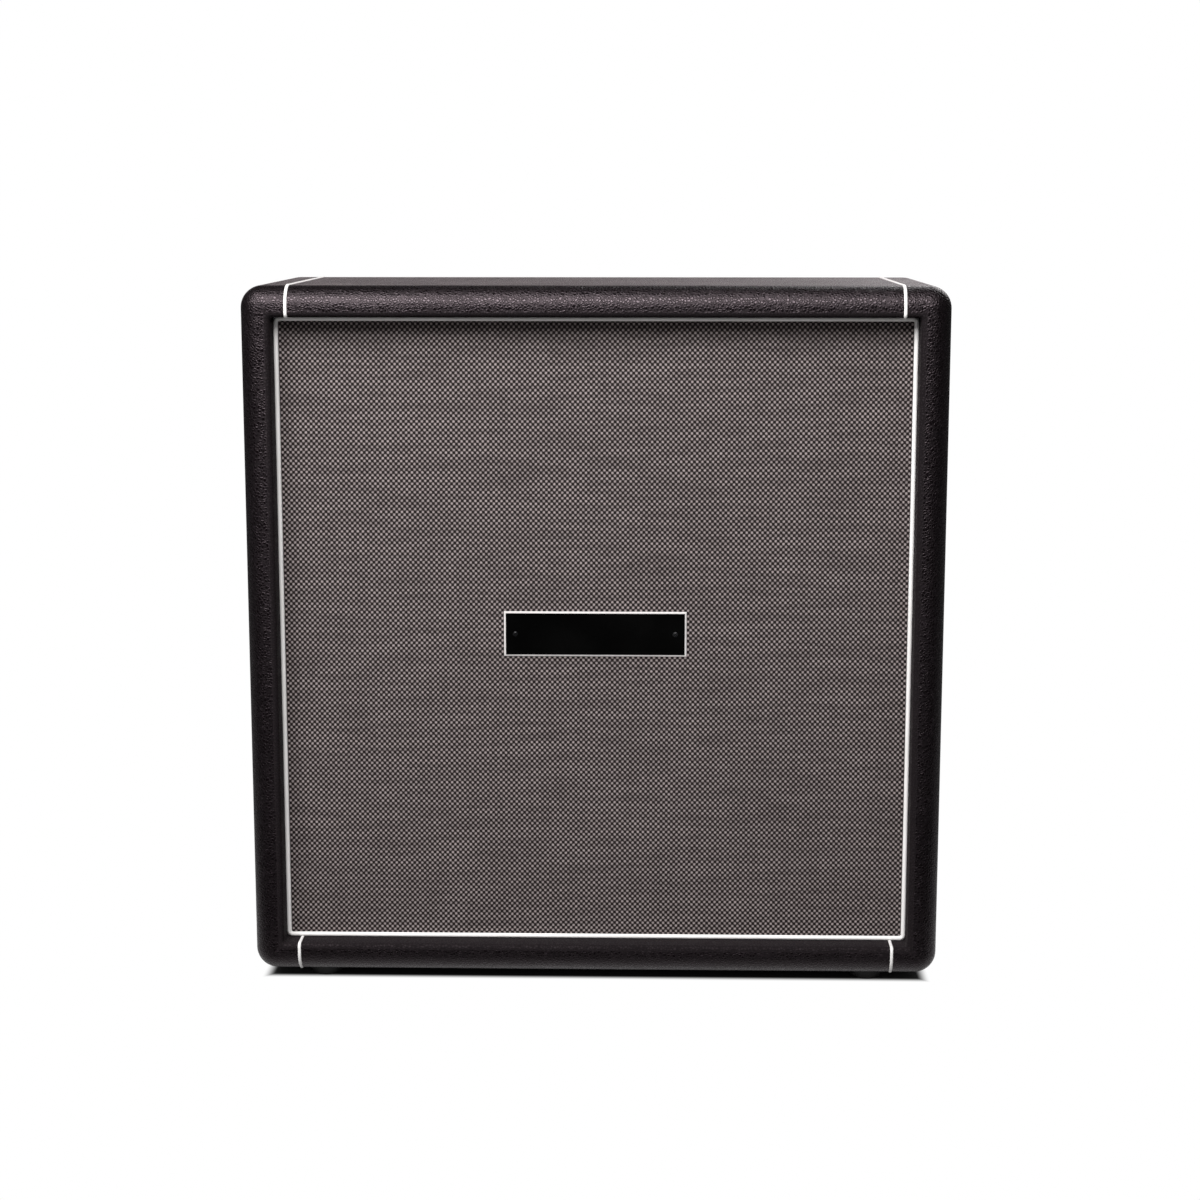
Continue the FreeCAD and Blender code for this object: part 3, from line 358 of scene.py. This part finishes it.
def grain_group():
    """Pebbles with creases between them, as pressed into leathercloth."""
    group, given, made = new_group(
        "pebble_grain", [("Pebbles per metre", pebbles_per_metre)], ["Height", "Crease", "Fleck"])
    place = object_place(group)
    drift = add_node(group, "ShaderNodeTexNoise", Scale=drift_scale, Detail=2.0)
    group.links.new(place, drift.inputs["Vector"])
    shift = add_node(group, "ShaderNodeVectorMath", operation="MULTIPLY_ADD")
    shift.inputs[1].default_value = (drift_length, drift_length, drift_length)
    group.links.new(drift.outputs["Color"], shift.inputs[0])
    group.links.new(place, shift.inputs[2])
    cells = add_node(group, "ShaderNodeTexVoronoi", feature="DISTANCE_TO_EDGE")
    group.links.new(shift.outputs[0], cells.inputs["Vector"])
    group.links.new(given.outputs["Pebbles per metre"], cells.inputs["Scale"])
    pebble = smooth_range(group, cells.outputs["Distance"], 0.0, pebble_edge)
    fleck = add_node(group, "ShaderNodeTexNoise", Scale=fleck_scale, Detail=3.0, Roughness=0.7)
    group.links.new(place, fleck.inputs["Vector"])
    height = math_node(group, "MULTIPLY_ADD", fleck.outputs["Fac"], fleck_height, pebble)
    group.links.new(height, made.inputs["Height"])
    group.links.new(math_node(group, "SUBTRACT", 1.0, pebble), made.inputs["Crease"])
    group.links.new(smooth_range(group, fleck.outputs["Fac"], *fleck_limits), made.inputs["Fleck"])
    return group


pebble_grain = grain_group()
print("group", pebble_grain.name)

# %% Smudge group
smudge_layers = {
    # output: usual scale, lower and upper limit of its noise
    "Patch": (14.0, 0.3, 0.7),
    "Speckle": (700.0, 0.35, 0.65),
}


def smudge_group():
    """Slow patches and fine speckle, for paint, metal, rubber and paper."""
    scales = [(label + " scale", values[0]) for label, values in smudge_layers.items()]
    group, given, made = new_group("smudge", scales, list(smudge_layers))
    place = object_place(group)
    for label, (_, low, high) in smudge_layers.items():
        noise = add_node(group, "ShaderNodeTexNoise", Detail=3.0)
        group.links.new(place, noise.inputs["Vector"])
        group.links.new(given.outputs[label + " scale"], noise.inputs["Scale"])
        group.links.new(smooth_range(group, noise.outputs["Fac"], low, high), made.inputs[label])
    return group


smudge = smudge_group()
print("group", smudge.name)

# %% A material with its shader


def new_material(name):
    material = bpy.data.materials.new(name)
    material.use_nodes = True
    tree = material.node_tree
    tree.nodes.clear()
    shader = tree.nodes.new("ShaderNodeBsdfPrincipled")
    out = tree.nodes.new("ShaderNodeOutputMaterial")
    tree.links.new(shader.outputs["BSDF"], out.inputs["Surface"])
    return material, tree, shader


def place_group(tree, group, **values):
    node = tree.nodes.new("ShaderNodeGroup")
    node.node_tree = group
    for label, value in values.items():
        node.inputs[label.replace("_", " ")].default_value = value
    return node.outputs


def bump(tree, shader, height, strength, distance):
    node = add_node(tree, "ShaderNodeBump", Strength=strength, Distance=distance)
    tree.links.new(height, node.inputs["Height"])
    tree.links.new(node.outputs["Normal"], shader.inputs["Normal"])


print("material helpers ready")

# %% [markdown]
# ## Black leathercloth
#
# The covering is black vinyl with a pressed grain two or three millimetres across. It isn't neutral: the
# photograph shows a warm, slightly purple black. The pebbles stand up as bump, and the creases are duller
# and painted darker, as painted shade between the pebbles. The tops are a little polished, which makes
# the bright flecks along the rounded top edge. The strip that turns in behind the front lip is duller,
# since no hand polishes it; a glossy one would mirror the white piping beside it. Its colour is painted
# darker too, as painted shade in the recess behind the lip.

# %% Where the covering turns in behind the lip
opening_low, opening_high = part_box("grille_piping")
half_opening = opening_high.x
# Distances outside the piping at which the dull strip of painted shade starts and is full,
# and its depth behind the lip.
turn_in_start = 0.004
turn_in_full = 0.002
turn_in_depth = 0.02


def turned_in(tree):
    """1 on the strip of covering that turns in behind the front lip, down to the piping."""
    opening_middle = (opening_low + opening_high) / 2
    offset = parts_of(tree, vector_node(tree, "SUBTRACT", object_place(tree), opening_middle))
    across = math_node(tree, "ABSOLUTE", offset["X"])
    upright = math_node(tree, "ABSOLUTE", offset["Z"])
    reach = math_node(tree, "MAXIMUM", across, upright)
    within = smooth_range(tree, reach, half_opening + turn_in_start, half_opening + turn_in_full)
    near_front = smooth_range(tree, offset["Y"], 2 * turn_in_depth, turn_in_depth)
    return math_node(tree, "MULTIPLY", within, near_front)


print("opening", round(2 * half_opening, 4), "m wide")

# %% Leathercloth material
vinyl_black = (0.0026, 0.0015, 0.0020)
# Painted shade: the creases between the pebbles get a darker colour.
vinyl_crease_shade = (0.0003, 0.0001, 0.0002)
vinyl_fleck = (0.0136, 0.0099, 0.0121)
# Painted shade: the covering that turns in behind the lip gets a darker colour.
vinyl_inside_lip_shade = (0.0006, 0.0004, 0.0005)
vinyl_gloss_tint = (1.0, 0.82, 0.89, 1.0)
vinyl_gloss = 0.47
rough_top = 0.19
rough_crease = 0.30
rough_smear = 0.06
rough_inside_lip = 0.5
vinyl_smear_scale = 9.0


def leathercloth():
    material, tree, shader = new_material("black_leathercloth")
    grain = place_group(tree, pebble_grain, Pebbles_per_metre=pebbles_per_metre)
    smears = place_group(tree, smudge, Patch_scale=vinyl_smear_scale)
    inside_lip_shade_and_dull = turned_in(tree)
    # Painted shade in the creases between the pebbles.
    base = mix_colours(tree, grain["Crease"], vinyl_black, vinyl_crease_shade)
    worn = mix_colours(tree, grain["Fleck"], base, vinyl_fleck)
    # Painted shade on the strip that turns in behind the lip; the same mask also dulls it below.
    tree.links.new(mix_colours(tree, inside_lip_shade_and_dull, worn, vinyl_inside_lip_shade), shader.inputs["Base Color"])
    shader.inputs["Specular Tint"].default_value = vinyl_gloss_tint
    shader.inputs["Specular IOR Level"].default_value = vinyl_gloss
    rough = math_node(tree, "MULTIPLY_ADD", grain["Crease"], rough_crease, rough_top)
    rough = math_node(tree, "MULTIPLY_ADD", inside_lip_shade_and_dull, rough_inside_lip, rough)
    rough = math_node(tree, "MULTIPLY_ADD", smears["Patch"], rough_smear, rough)
    tree.links.new(rough, shader.inputs["Roughness"])
    bump(tree, shader, grain["Height"], strength=0.8, distance=0.0003)
    return material


finishes = {"black_vinyl": leathercloth()}
print("finish black_vinyl")

# %% [markdown]
# ## Plain finishes
#
# Paint, rubber, metal, card and paper differ in colour, gloss and speckle, so one function makes them
# from a table. The patches move the colour a little towards a second one, and the speckle gives the
# paint its orange peel and the paper its pulp.

# %% Table of plain finishes
plain_finishes = {
    # slot: colour, second colour, roughness, metallic, speckles per metre, bump depth
    "white_piping": ((0.90, 0.88, 0.87), (0.82, 0.80, 0.78), 0.38, 0.0, 500.0, 0.00005),
    "badge_white": ((0.72, 0.69, 0.68), (0.66, 0.63, 0.62), 0.30, 0.0, 900.0, 0.00002),
    "badge_black": ((0.0002, 0.0002, 0.0002), (0.0005, 0.0005, 0.0005), 0.16, 0.0, 300.0, 0.00001),
    "black_screw": ((0.016, 0.016, 0.017), (0.03, 0.03, 0.032), 0.22, 0.6, 1500.0, 0.00002),
    "handle_black": ((0.010, 0.010, 0.011), (0.018, 0.018, 0.019), 0.42, 0.0, 850.0, 0.00012),
    "handle_bar": ((0.012, 0.012, 0.013), (0.026, 0.026, 0.027), 0.36, 0.0, 850.0, 0.00010),
    "grip_rubber": ((0.009, 0.009, 0.009), (0.016, 0.015, 0.015), 0.72, 0.0, 1400.0, 0.00015),
    "foot_rubber": ((0.010, 0.010, 0.010), (0.020, 0.019, 0.018), 0.78, 0.0, 900.0, 0.00020),
    "jack_metal": ((0.70, 0.69, 0.66), (0.52, 0.50, 0.47), 0.24, 1.0, 600.0, 0.00003),
    "zinc_screw": ((0.60, 0.60, 0.58), (0.42, 0.42, 0.42), 0.34, 1.0, 1200.0, 0.00004),
    "basket_paint": ((0.085, 0.085, 0.092), (0.12, 0.12, 0.125), 0.45, 0.0, 500.0, 0.00010),
    "gasket_card": ((0.30, 0.21, 0.13), (0.22, 0.15, 0.09), 0.90, 0.0, 900.0, 0.00025),
    "motor_steel": ((0.48, 0.47, 0.44), (0.36, 0.35, 0.33), 0.40, 1.0, 400.0, 0.00006),
    "magnet_ferrite": ((0.045, 0.045, 0.047), (0.07, 0.07, 0.072), 0.62, 0.0, 600.0, 0.00015),
    "terminal_board": ((0.14, 0.08, 0.045), (0.10, 0.055, 0.03), 0.70, 0.0, 700.0, 0.00010),
    "wire_cover": ((0.02, 0.02, 0.02), (0.03, 0.03, 0.03), 0.55, 0.0, 800.0, 0.00005),
    "cone_paper": ((0.035, 0.033, 0.031), (0.055, 0.052, 0.048), 0.92, 0.0, 500.0, 0.00030),
    "coil_metal": ((0.62, 0.32, 0.18), (0.50, 0.25, 0.13), 0.35, 1.0, 900.0, 0.00004),
    "surround_paper": ((0.025, 0.023, 0.022), (0.04, 0.037, 0.034), 0.80, 0.0, 600.0, 0.00020),
    "spider_cloth": ((0.40, 0.28, 0.12), (0.30, 0.20, 0.085), 0.92, 0.0, 900.0, 0.00030),
}
plain_patch_scale = 16.0
# Patches spread the roughness from a little under the table's value to a little over it.
rough_spread = 0.12
rough_under = 0.05


def plain_finish(name, colour, second, roughness, metallic, speckles, depth):
    material, tree, shader = new_material(name)
    marks = place_group(tree, smudge, Patch_scale=plain_patch_scale, Speckle_scale=speckles)
    tree.links.new(mix_colours(tree, marks["Patch"], colour, second), shader.inputs["Base Color"])
    rough = math_node(tree, "MULTIPLY_ADD", marks["Patch"], rough_spread, roughness - rough_under)
    tree.links.new(rough, shader.inputs["Roughness"])
    shader.inputs["Metallic"].default_value = metallic
    bump(tree, shader, marks["Speckle"], strength=0.6, distance=depth)
    return material


for slot_name, values in plain_finishes.items():
    finishes[slot_name] = plain_finish(slot_name + "_finish", *values)
print(len(finishes), "finishes")

# %% [markdown]
# ## Plywood
#
# The boards are birch plywood, bare inside the box. Its faces show long straight grain, so a noise is
# stretched along X and darkened in thin lines.

# %% Plywood material
ply_stretch = (3.0, 70.0, 70.0)
ply_line_limits = (0.35, 0.65)
ply_dark = (0.48, 0.33, 0.19)
ply_light = (0.66, 0.50, 0.32)


def plywood():
    material, tree, shader = new_material("birch_plywood")
    stretch = add_node(tree, "ShaderNodeMapping", Scale=ply_stretch)
    tree.links.new(object_place(tree), stretch.inputs["Vector"])
    figure = add_node(tree, "ShaderNodeTexNoise", Scale=4.0, Detail=6.0, Distortion=0.6)
    tree.links.new(stretch.outputs[0], figure.inputs["Vector"])
    line = smooth_range(tree, figure.outputs["Fac"], *ply_line_limits)
    tree.links.new(mix_colours(tree, line, ply_dark, ply_light), shader.inputs["Base Color"])
    shader.inputs["Roughness"].default_value = 0.75
    bump(tree, shader, line, strength=0.3, distance=0.0003)
    return material


finishes["birch_ply"] = plywood()
print("finish birch_ply")

# %% [markdown]
# ## Finishes on the nodes
#
# The record names the finish of every node, so it is looked up there. A second list here could come to
# disagree with it. The grille cloth gets its finish later, with its weave.

# %% Give every node its finish
slot_of_node = {row["node"]: row["material_slot"] for row in frame["record"]["subparts"]}
for name, node in nodes.items():
    finish = finishes.get(slot_of_node[name])
    if finish is not None:
        node.data.materials.clear()
        node.data.materials.append(finish)
print("nodes with no finish yet:", [n for n in nodes if slot_of_node[n] not in finishes])

# %% [markdown]
# ## Grille cloth
#
# The grille is a plain weave of a light warp and a dark weft, so light and dark floats alternate like a
# checkerboard, about 2.9 by 3.1 mm each. A flat card with a checker texture looks printed. Here a grid
# has one vertex for each crossing and every second one stands proud, so light rakes over real floats;
# the colour follows the same crossings. Geometry Nodes make it because it is one rule repeated fifty
# thousand times.

# %% Weave sizes
cloth_low, cloth_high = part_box("grille_cloth")
warp_pitch = 0.00288
weft_pitch = 0.00310
float_relief = 0.00026
cloth_width = cloth_high.x - cloth_low.x
cloth_height = cloth_high.z - cloth_low.z
warp_count = round(cloth_width / warp_pitch)
weft_count = round(cloth_height / weft_pitch)
print("cloth", round(cloth_width, 4), "x", round(cloth_height, 4))
print("crossings", warp_count, "by", weft_count)

# %% Weave material
float_dark = (0.0115, 0.0080, 0.0080)
float_light = (0.388, 0.328, 0.322)
float_limits = (-0.05, 0.95)
float_ragged = 0.35
# Uneven threads: how a noise is stretched, and the least light that its dark streaks leave.
slub_streaks = (((6.0, 1.0, 90.0), 0.66), ((90.0, 1.0, 6.0), 0.86))
slub_limits = (0.25, 0.75)


def checkered(tree):
    """1 in the middle of a light float and -1 in the middle of a dark one."""
    crossings = add_node(tree, "ShaderNodeMapping")
    crossings.inputs["Location"].default_value = (
        warp_count / 2, 0, -cloth_low.z * weft_count / cloth_height)
    crossings.inputs["Scale"].default_value = (warp_count / cloth_width, 1.0, weft_count / cloth_height)
    tree.links.new(object_place(tree), crossings.inputs["Vector"])
    counted = parts_of(tree, crossings.outputs[0])
    waves = []
    for axis in ("X", "Z"):
        waves.append(math_node(tree, "COSINE", math_node(tree, "MULTIPLY", counted[axis], math.pi)))
    return math_node(tree, "MULTIPLY", *waves)


def grille_weave():
    """Light floats where warp and weft crossings are both even or both odd, dark ones between them."""
    material, tree, shader = new_material("grille_weave")
    marks = place_group(tree, smudge, Patch_scale=26.0, Speckle_scale=1500.0)
    ragged = math_node(tree, "MULTIPLY_ADD", marks["Speckle"], float_ragged, checkered(tree))
    light = smooth_range(tree, ragged, *float_limits)
    for stretch, least in slub_streaks:
        streak = add_node(tree, "ShaderNodeMapping", Scale=stretch)
        tree.links.new(object_place(tree), streak.inputs["Vector"])
        slub = add_node(tree, "ShaderNodeTexNoise", Scale=3.0, Detail=2.0)
        tree.links.new(streak.outputs[0], slub.inputs["Vector"])
        share = smooth_range(tree, slub.outputs["Fac"], *slub_limits, least, 1.0)
        light = math_node(tree, "MULTIPLY", light, share)
    tree.links.new(mix_colours(tree, light, float_dark, float_light), shader.inputs["Base Color"])
    shader.inputs["Roughness"].default_value = 0.85
    shader.inputs["Specular IOR Level"].default_value = 0.18
    bump(tree, shader, marks["Speckle"], strength=0.5, distance=0.0003)
    return material


finishes["grille_weave"] = grille_weave()
print("finish grille_weave")

# %% Helpers for Geometry Nodes


def geometry_tree(name, inputs):
    tree = bpy.data.node_groups.new(name, "GeometryNodeTree")
    tree.interface.new_socket("Geometry", in_out="INPUT", socket_type="NodeSocketGeometry")
    for label, kind, value in inputs:
        socket = tree.interface.new_socket(label, in_out="INPUT", socket_type=kind)
        if value is not None:
            socket.default_value = value
    tree.interface.new_socket("Geometry", in_out="OUTPUT", socket_type="NodeSocketGeometry")
    return tree, tree.nodes.new("NodeGroupInput").outputs, tree.nodes.new("NodeGroupOutput").inputs


def paint_result(tree, geometry, given, made):
    """The last step of a tree: its Material input on the geometry, which goes out."""
    painted = tree.nodes.new("GeometryNodeSetMaterial")
    tree.links.new(geometry, painted.inputs["Geometry"])
    tree.links.new(given["Material"], painted.inputs["Material"])
    tree.links.new(painted.outputs[0], made["Geometry"])


def run_tree(tree, mesh, name, **values):
    """Runs a tree on a mesh once and gives the result as a plain object at the origin."""
    maker = bpy.data.objects.new(name + "_maker", mesh)
    scene.collection.objects.link(maker)
    modifier = maker.modifiers.new("make", "NODES")
    modifier.node_group = tree
    for socket in tree.interface.items_tree:
        label = socket.name.replace(" ", "_")
        if socket.in_out == "INPUT" and label in values:
            modifier[socket.identifier] = values[label]
    bpy.context.view_layer.update()
    result = bpy.data.meshes.new_from_object(maker.evaluated_get(bpy.context.evaluated_depsgraph_get()))
    result.name = name
    maker.modifiers.remove(modifier)
    bpy.data.objects.remove(maker)
    piece = bpy.data.objects.new(name, result)
    scene.collection.objects.link(piece)
    return piece


print("geometry helpers ready")

# %% Weave tree
least_rise = 0.75
weave_seed = 7


def odd_crossings(tree, given):
    """1 at the crossings whose two counts add up to an odd number, 0 at the others."""
    place = parts_of(tree, tree.nodes.new("GeometryNodeInputPosition").outputs[0])
    steps = []
    for axis, size, count in (("X", "Width", "Warp threads"), ("Y", "Height", "Weft threads")):
        share = math_node(tree, "DIVIDE", place[axis], given[size])
        share = math_node(tree, "ADD", share, 0.5)
        steps.append(math_node(tree, "ROUND", math_node(tree, "MULTIPLY", share, given[count])))
    return math_node(tree, "FLOORED_MODULO", math_node(tree, "ADD", *steps), 2.0)


def woven_sheet_tree():
    tree, given, made = geometry_tree("woven_sheet", [
        ("Width", "NodeSocketFloat", 0.7), ("Height", "NodeSocketFloat", 0.7),
        ("Warp threads", "NodeSocketInt", 10), ("Weft threads", "NodeSocketInt", 10),
        ("Relief", "NodeSocketFloat", 0.0002), ("Seed", "NodeSocketInt", 3),
        ("Material", "NodeSocketMaterial", None),
    ])
    grid = tree.nodes.new("GeometryNodeMeshGrid")
    for label, socket in (("Size X", "Width"), ("Size Y", "Height")):
        tree.links.new(given[socket], grid.inputs[label])
    for label, socket in (("Vertices X", "Warp threads"), ("Vertices Y", "Weft threads")):
        tree.links.new(math_node(tree, "ADD", given[socket], 1.0), grid.inputs[label])
    uneven = add_node(tree, "FunctionNodeRandomValue", data_type="FLOAT")
    uneven.inputs[2].default_value = least_rise
    uneven.inputs[3].default_value = 1.0
    tree.links.new(given["Seed"], uneven.inputs["Seed"])
    even = math_node(tree, "SUBTRACT", 1.0, odd_crossings(tree, given))
    rise = math_node(tree, "MULTIPLY", even, uneven.outputs[1])
    lift = tree.nodes.new("ShaderNodeCombineXYZ")
    tree.links.new(math_node(tree, "MULTIPLY", rise, given["Relief"]), lift.inputs["Z"])
    shaped = tree.nodes.new("GeometryNodeSetPosition")
    tree.links.new(grid.outputs["Mesh"], shaped.inputs["Geometry"])
    tree.links.new(lift.outputs[0], shaped.inputs["Offset"])
    smooth = tree.nodes.new("GeometryNodeSetShadeSmooth")
    tree.links.new(shaped.outputs[0], smooth.inputs["Geometry"])
    single = tree.nodes.new("GeometryNodeRealizeInstances")
    tree.links.new(smooth.outputs[0], single.inputs[0])
    paint_result(tree, single.outputs[0], given, made)
    return tree


cloth = run_tree(
    woven_sheet_tree(), bpy.data.meshes.new("empty"), "woven_grille_cloth",
    Width=cloth_width, Height=cloth_height, Warp_threads=warp_count, Weft_threads=weft_count,
    Relief=float_relief, Seed=weave_seed, Material=finishes["grille_weave"],
)
print("cloth faces", len(cloth.data.polygons))

# %% Stand the cloth up, and close it with a flat back


def close_below(form, axis, level):
    """Drops the open rim of a form to a level along an axis, closes it there and mends the normals."""
    rim = [edge for edge in form.edges if edge.is_boundary]
    grown = bmesh.ops.extrude_edge_only(form, edges=rim)["geom"]
    for vertex in (item for item in grown if isinstance(item, bmesh.types.BMVert)):
        vertex.co[axis] = level
    foot = [item for item in grown if isinstance(item, bmesh.types.BMEdge) and item.is_boundary]
    bmesh.ops.contextual_create(form, geom=foot)
    bmesh.ops.recalc_face_normals(form, faces=form.faces)


cloth_middle = (cloth_low + cloth_high) / 2
cloth_form = bmesh.new()
cloth_form.from_mesh(cloth.data)
for vertex in cloth_form.verts:
    x, y, rise = vertex.co
    vertex.co = (x, cloth_low.y + float_relief - rise, cloth_middle.z + y)
close_below(cloth_form, 1, cloth_high.y)
cloth_form.to_mesh(cloth.data)
cloth_form.free()
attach(cloth, "cabinet")
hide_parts("grille_cloth")
print("cloth stands from y", round(cloth_low.y, 4), "to", round(cloth_high.y, 4))

# %% [markdown]
# ## Screws
#
# The name plate, the handles and the jack plate are held by pan-head screws with a cross recess. One
# head is modelled as a domed grid with the cross pressed in, and Geometry Nodes put a copy on each
# place, turned to face outwards and spun at random, as a hand leaves them.

# %% One screw head
# Grid lines over a head of radius 1, with a close pair at each edge of the cross.
head_lines = (-1.0, -0.8, -0.62, -0.58, -0.35, -0.17, -0.13, 0.13, 0.17, 0.35, 0.58, 0.62, 0.8, 1.0)
cross_half_width = 0.13
cross_half_length = 0.58
# Shares of the head's height: its straight edge, its dome and the depth of the cross.
edge_share = 0.35
dome_share = 0.65
cross_share = 0.6
dome_power = 2.6


def in_cross(a, b):
    """Whether a place on the head lies in one of the two arms of the cross."""
    narrow, wide = sorted((abs(a), abs(b)))
    return narrow <= cross_half_width and wide <= cross_half_length


def screw_head(name, radius, height):
    """A pan head along +Z that stands on z = 0, with a tapered cross recess."""
    form = bmesh.new()
    rows = []
    for b in head_lines:
        row = []
        for a in head_lines:
            x = a * math.sqrt(1 - b * b / 2)
            y = b * math.sqrt(1 - a * a / 2)
            r = min(1.0, math.hypot(x, y))
            dome = math.sqrt(max(0.0, 1 - r ** dome_power))
            z = height * (edge_share + dome_share * dome)
            row.append(form.verts.new((x * radius, y * radius, z - cross_share * height * in_cross(a, b))))
        rows.append(row)
    for low, high in zip(rows, rows[1:]):
        for i in range(len(head_lines) - 1):
            form.faces.new((low[i], low[i + 1], high[i + 1], high[i]))
    close_below(form, 2, 0.0)
    mesh = bpy.data.meshes.new(name)
    form.to_mesh(mesh)
    form.free()
    return mesh


print("screw head of", len(head_lines), "by", len(head_lines), "points")

# %% Screw tree


def screw_set_tree():
    tree, given, made = geometry_tree("screw_set", [
        ("Head", "NodeSocketObject", None), ("Seed", "NodeSocketInt", 1),
        ("Material", "NodeSocketMaterial", None),
    ])
    head = tree.nodes.new("GeometryNodeObjectInfo")
    tree.links.new(given["Head"], head.inputs["Object"])
    spin = add_node(tree, "FunctionNodeRandomValue", data_type="FLOAT")
    spin.inputs[3].default_value = 2 * math.pi
    tree.links.new(given["Seed"], spin.inputs["Seed"])
    turn = tree.nodes.new("FunctionNodeAxisAngleToRotation")
    turn.inputs["Axis"].default_value = (0, 0, 1)
    tree.links.new(spin.outputs[1], turn.inputs["Angle"])
    facing = add_node(tree, "GeometryNodeInputNamedAttribute", data_type="FLOAT_VECTOR", Name="facing")
    aim = add_node(tree, "FunctionNodeAlignRotationToVector", axis="Z")
    tree.links.new(turn.outputs[0], aim.inputs["Rotation"])
    tree.links.new(facing.outputs[0], aim.inputs["Vector"])
    copies = tree.nodes.new("GeometryNodeInstanceOnPoints")
    tree.links.new(given["Geometry"], copies.inputs["Points"])
    tree.links.new(head.outputs["Geometry"], copies.inputs["Instance"])
    tree.links.new(aim.outputs[0], copies.inputs["Rotation"])
    single = tree.nodes.new("GeometryNodeRealizeInstances")
    tree.links.new(copies.outputs[0], single.inputs[0])
    paint_result(tree, single.outputs[0], given, made)
    return tree


screw_tree = screw_set_tree()


def screw_set(name, node, places, radius, height, seed):
    """Screws at (place, facing) pairs that stand for a CAD node on the cabinet."""
    points = bpy.data.meshes.new(name + "_places")
    points.from_pydata([place for place, _ in places], [], [])
    facing = points.attributes.new("facing", "FLOAT_VECTOR", "POINT")
    for row, (_, way) in zip(facing.data, places):
        row.vector = way
    head = bpy.data.objects.new(name + "_head", screw_head(name + "_head", radius, height))
    scene.collection.objects.link(head)
    piece = run_tree(screw_tree, points, name, Head=head, Seed=seed, Material=finishes["black_screw"])
    bpy.data.objects.remove(head)
    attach(piece, "cabinet")
    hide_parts(node)
    print(name, len(places), "screws,", len(piece.data.polygons), "faces")


print("tree", screw_tree.name)

# %% Screws of the name plate
badge_low, badge_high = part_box("badge_face")
badge_screw_inset = 0.0105
badge_xs = (badge_low.x + badge_screw_inset, badge_high.x - badge_screw_inset)
badge_z = (badge_low.z + badge_high.z) / 2
badge_places = [((x, badge_low.y, badge_z), (0, -1, 0)) for x in badge_xs]
screw_set("badge_screw_heads", "badge_screws", badge_places, radius=0.0029, height=0.0016, seed=11)

# %% Screws of the jack plate
plate_low, plate_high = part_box("jack_plate")
plate_screw_inset = 0.007
plate_xs = (plate_low.x + plate_screw_inset, plate_high.x - plate_screw_inset)
plate_zs = (plate_low.z + plate_screw_inset, plate_high.z - plate_screw_inset)
plate_places = [((x, plate_high.y, z), (0, 1, 0)) for x in plate_xs for z in plate_zs]
screw_set("jack_plate_screw_heads", "jack_plate_screws", plate_places, radius=0.0034, height=0.0020, seed=12)

# %% Screws of the handles
dish_low, dish_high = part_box("right_handle_dish")
dish_screw_inset = 0.008
dish_ys = (dish_low.y + dish_screw_inset, (dish_low.y + dish_high.y) / 2, dish_high.y - dish_screw_inset)
dish_zs = (dish_low.z + dish_screw_inset, dish_high.z - dish_screw_inset)
dish_places = [
    ((side * dish_high.x, y, z), (side, 0, 0)) for side in (-1, 1) for y in dish_ys for z in dish_zs
]
screw_set("handle_screw_heads", "handle_screws", dish_places, radius=0.0038, height=0.0022, seed=13)

# %% [markdown]
# ## Grip ribs
#
# The rubber sleeve on each carrying bail has raised rings, so that it doesn't turn in the hand. The
# sleeve's own solid stays, and a row of rings sits on it. Geometry Nodes put a ring on each point of a
# line along the sleeve. The rings ride on the bail, because they swing out with it.

# %% Ring tree
rib_pitch = 0.006
rib_radius = 0.0008
rib_ends = 0.004
ring_sides = 32
section_sides = 8


def grip_rib_tree():
    tree, given, made = geometry_tree("grip_ribs", [
        ("Sleeve radius", "NodeSocketFloat", 0.009), ("Rib radius", "NodeSocketFloat", 0.0008),
        ("Material", "NodeSocketMaterial", None),
    ])
    ring = add_node(tree, "GeometryNodeCurvePrimitiveCircle", Resolution=ring_sides)
    tree.links.new(given["Sleeve radius"], ring.inputs["Radius"])
    section = add_node(tree, "GeometryNodeCurvePrimitiveCircle", Resolution=section_sides)
    tree.links.new(given["Rib radius"], section.inputs["Radius"])
    bead = tree.nodes.new("GeometryNodeCurveToMesh")
    tree.links.new(ring.outputs["Curve"], bead.inputs["Curve"])
    tree.links.new(section.outputs["Curve"], bead.inputs["Profile Curve"])
    copies = tree.nodes.new("GeometryNodeInstanceOnPoints")
    copies.inputs["Rotation"].default_value = (math.pi / 2, 0, 0)
    tree.links.new(given["Geometry"], copies.inputs["Points"])
    tree.links.new(bead.outputs[0], copies.inputs["Instance"])
    single = tree.nodes.new("GeometryNodeRealizeInstances")
    tree.links.new(copies.outputs[0], single.inputs[0])
    smooth = tree.nodes.new("GeometryNodeSetShadeSmooth")
    tree.links.new(single.outputs[0], smooth.inputs["Geometry"])
    paint_result(tree, smooth.outputs[0], given, made)
    return tree


rib_tree = grip_rib_tree()
print("tree", rib_tree.name)

# %% Rings on both grips
for side in ("left", "right"):
    sleeve_low, sleeve_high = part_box(side + "_handle_grip")
    sleeve_middle = (sleeve_low + sleeve_high) / 2
    rib_span = sleeve_high.y - sleeve_low.y - 2 * rib_ends
    rib_count = round(rib_span / rib_pitch) + 1
    rib_places = bpy.data.meshes.new(side + "_rib_places")
    rib_places.from_pydata([
        (sleeve_middle.x, sleeve_low.y + rib_ends + rib_span * i / (rib_count - 1), sleeve_middle.z)
        for i in range(rib_count)
    ], [], [])
    ribs = run_tree(
        rib_tree, rib_places, side + "_grip_ribs", Sleeve_radius=(sleeve_high.z - sleeve_low.z) / 2,
        Rib_radius=rib_radius, Material=finishes["grip_rubber"],
    )
    rib_form = bmesh.new()
    rib_form.from_mesh(ribs.data)
    bmesh.ops.recalc_face_normals(rib_form, faces=rib_form.faces)
    rib_form.to_mesh(ribs.data)
    rib_form.free()
    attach(ribs, side + "_bail")
    print(ribs.name, rib_count, "rings,", len(ribs.data.polygons), "faces")
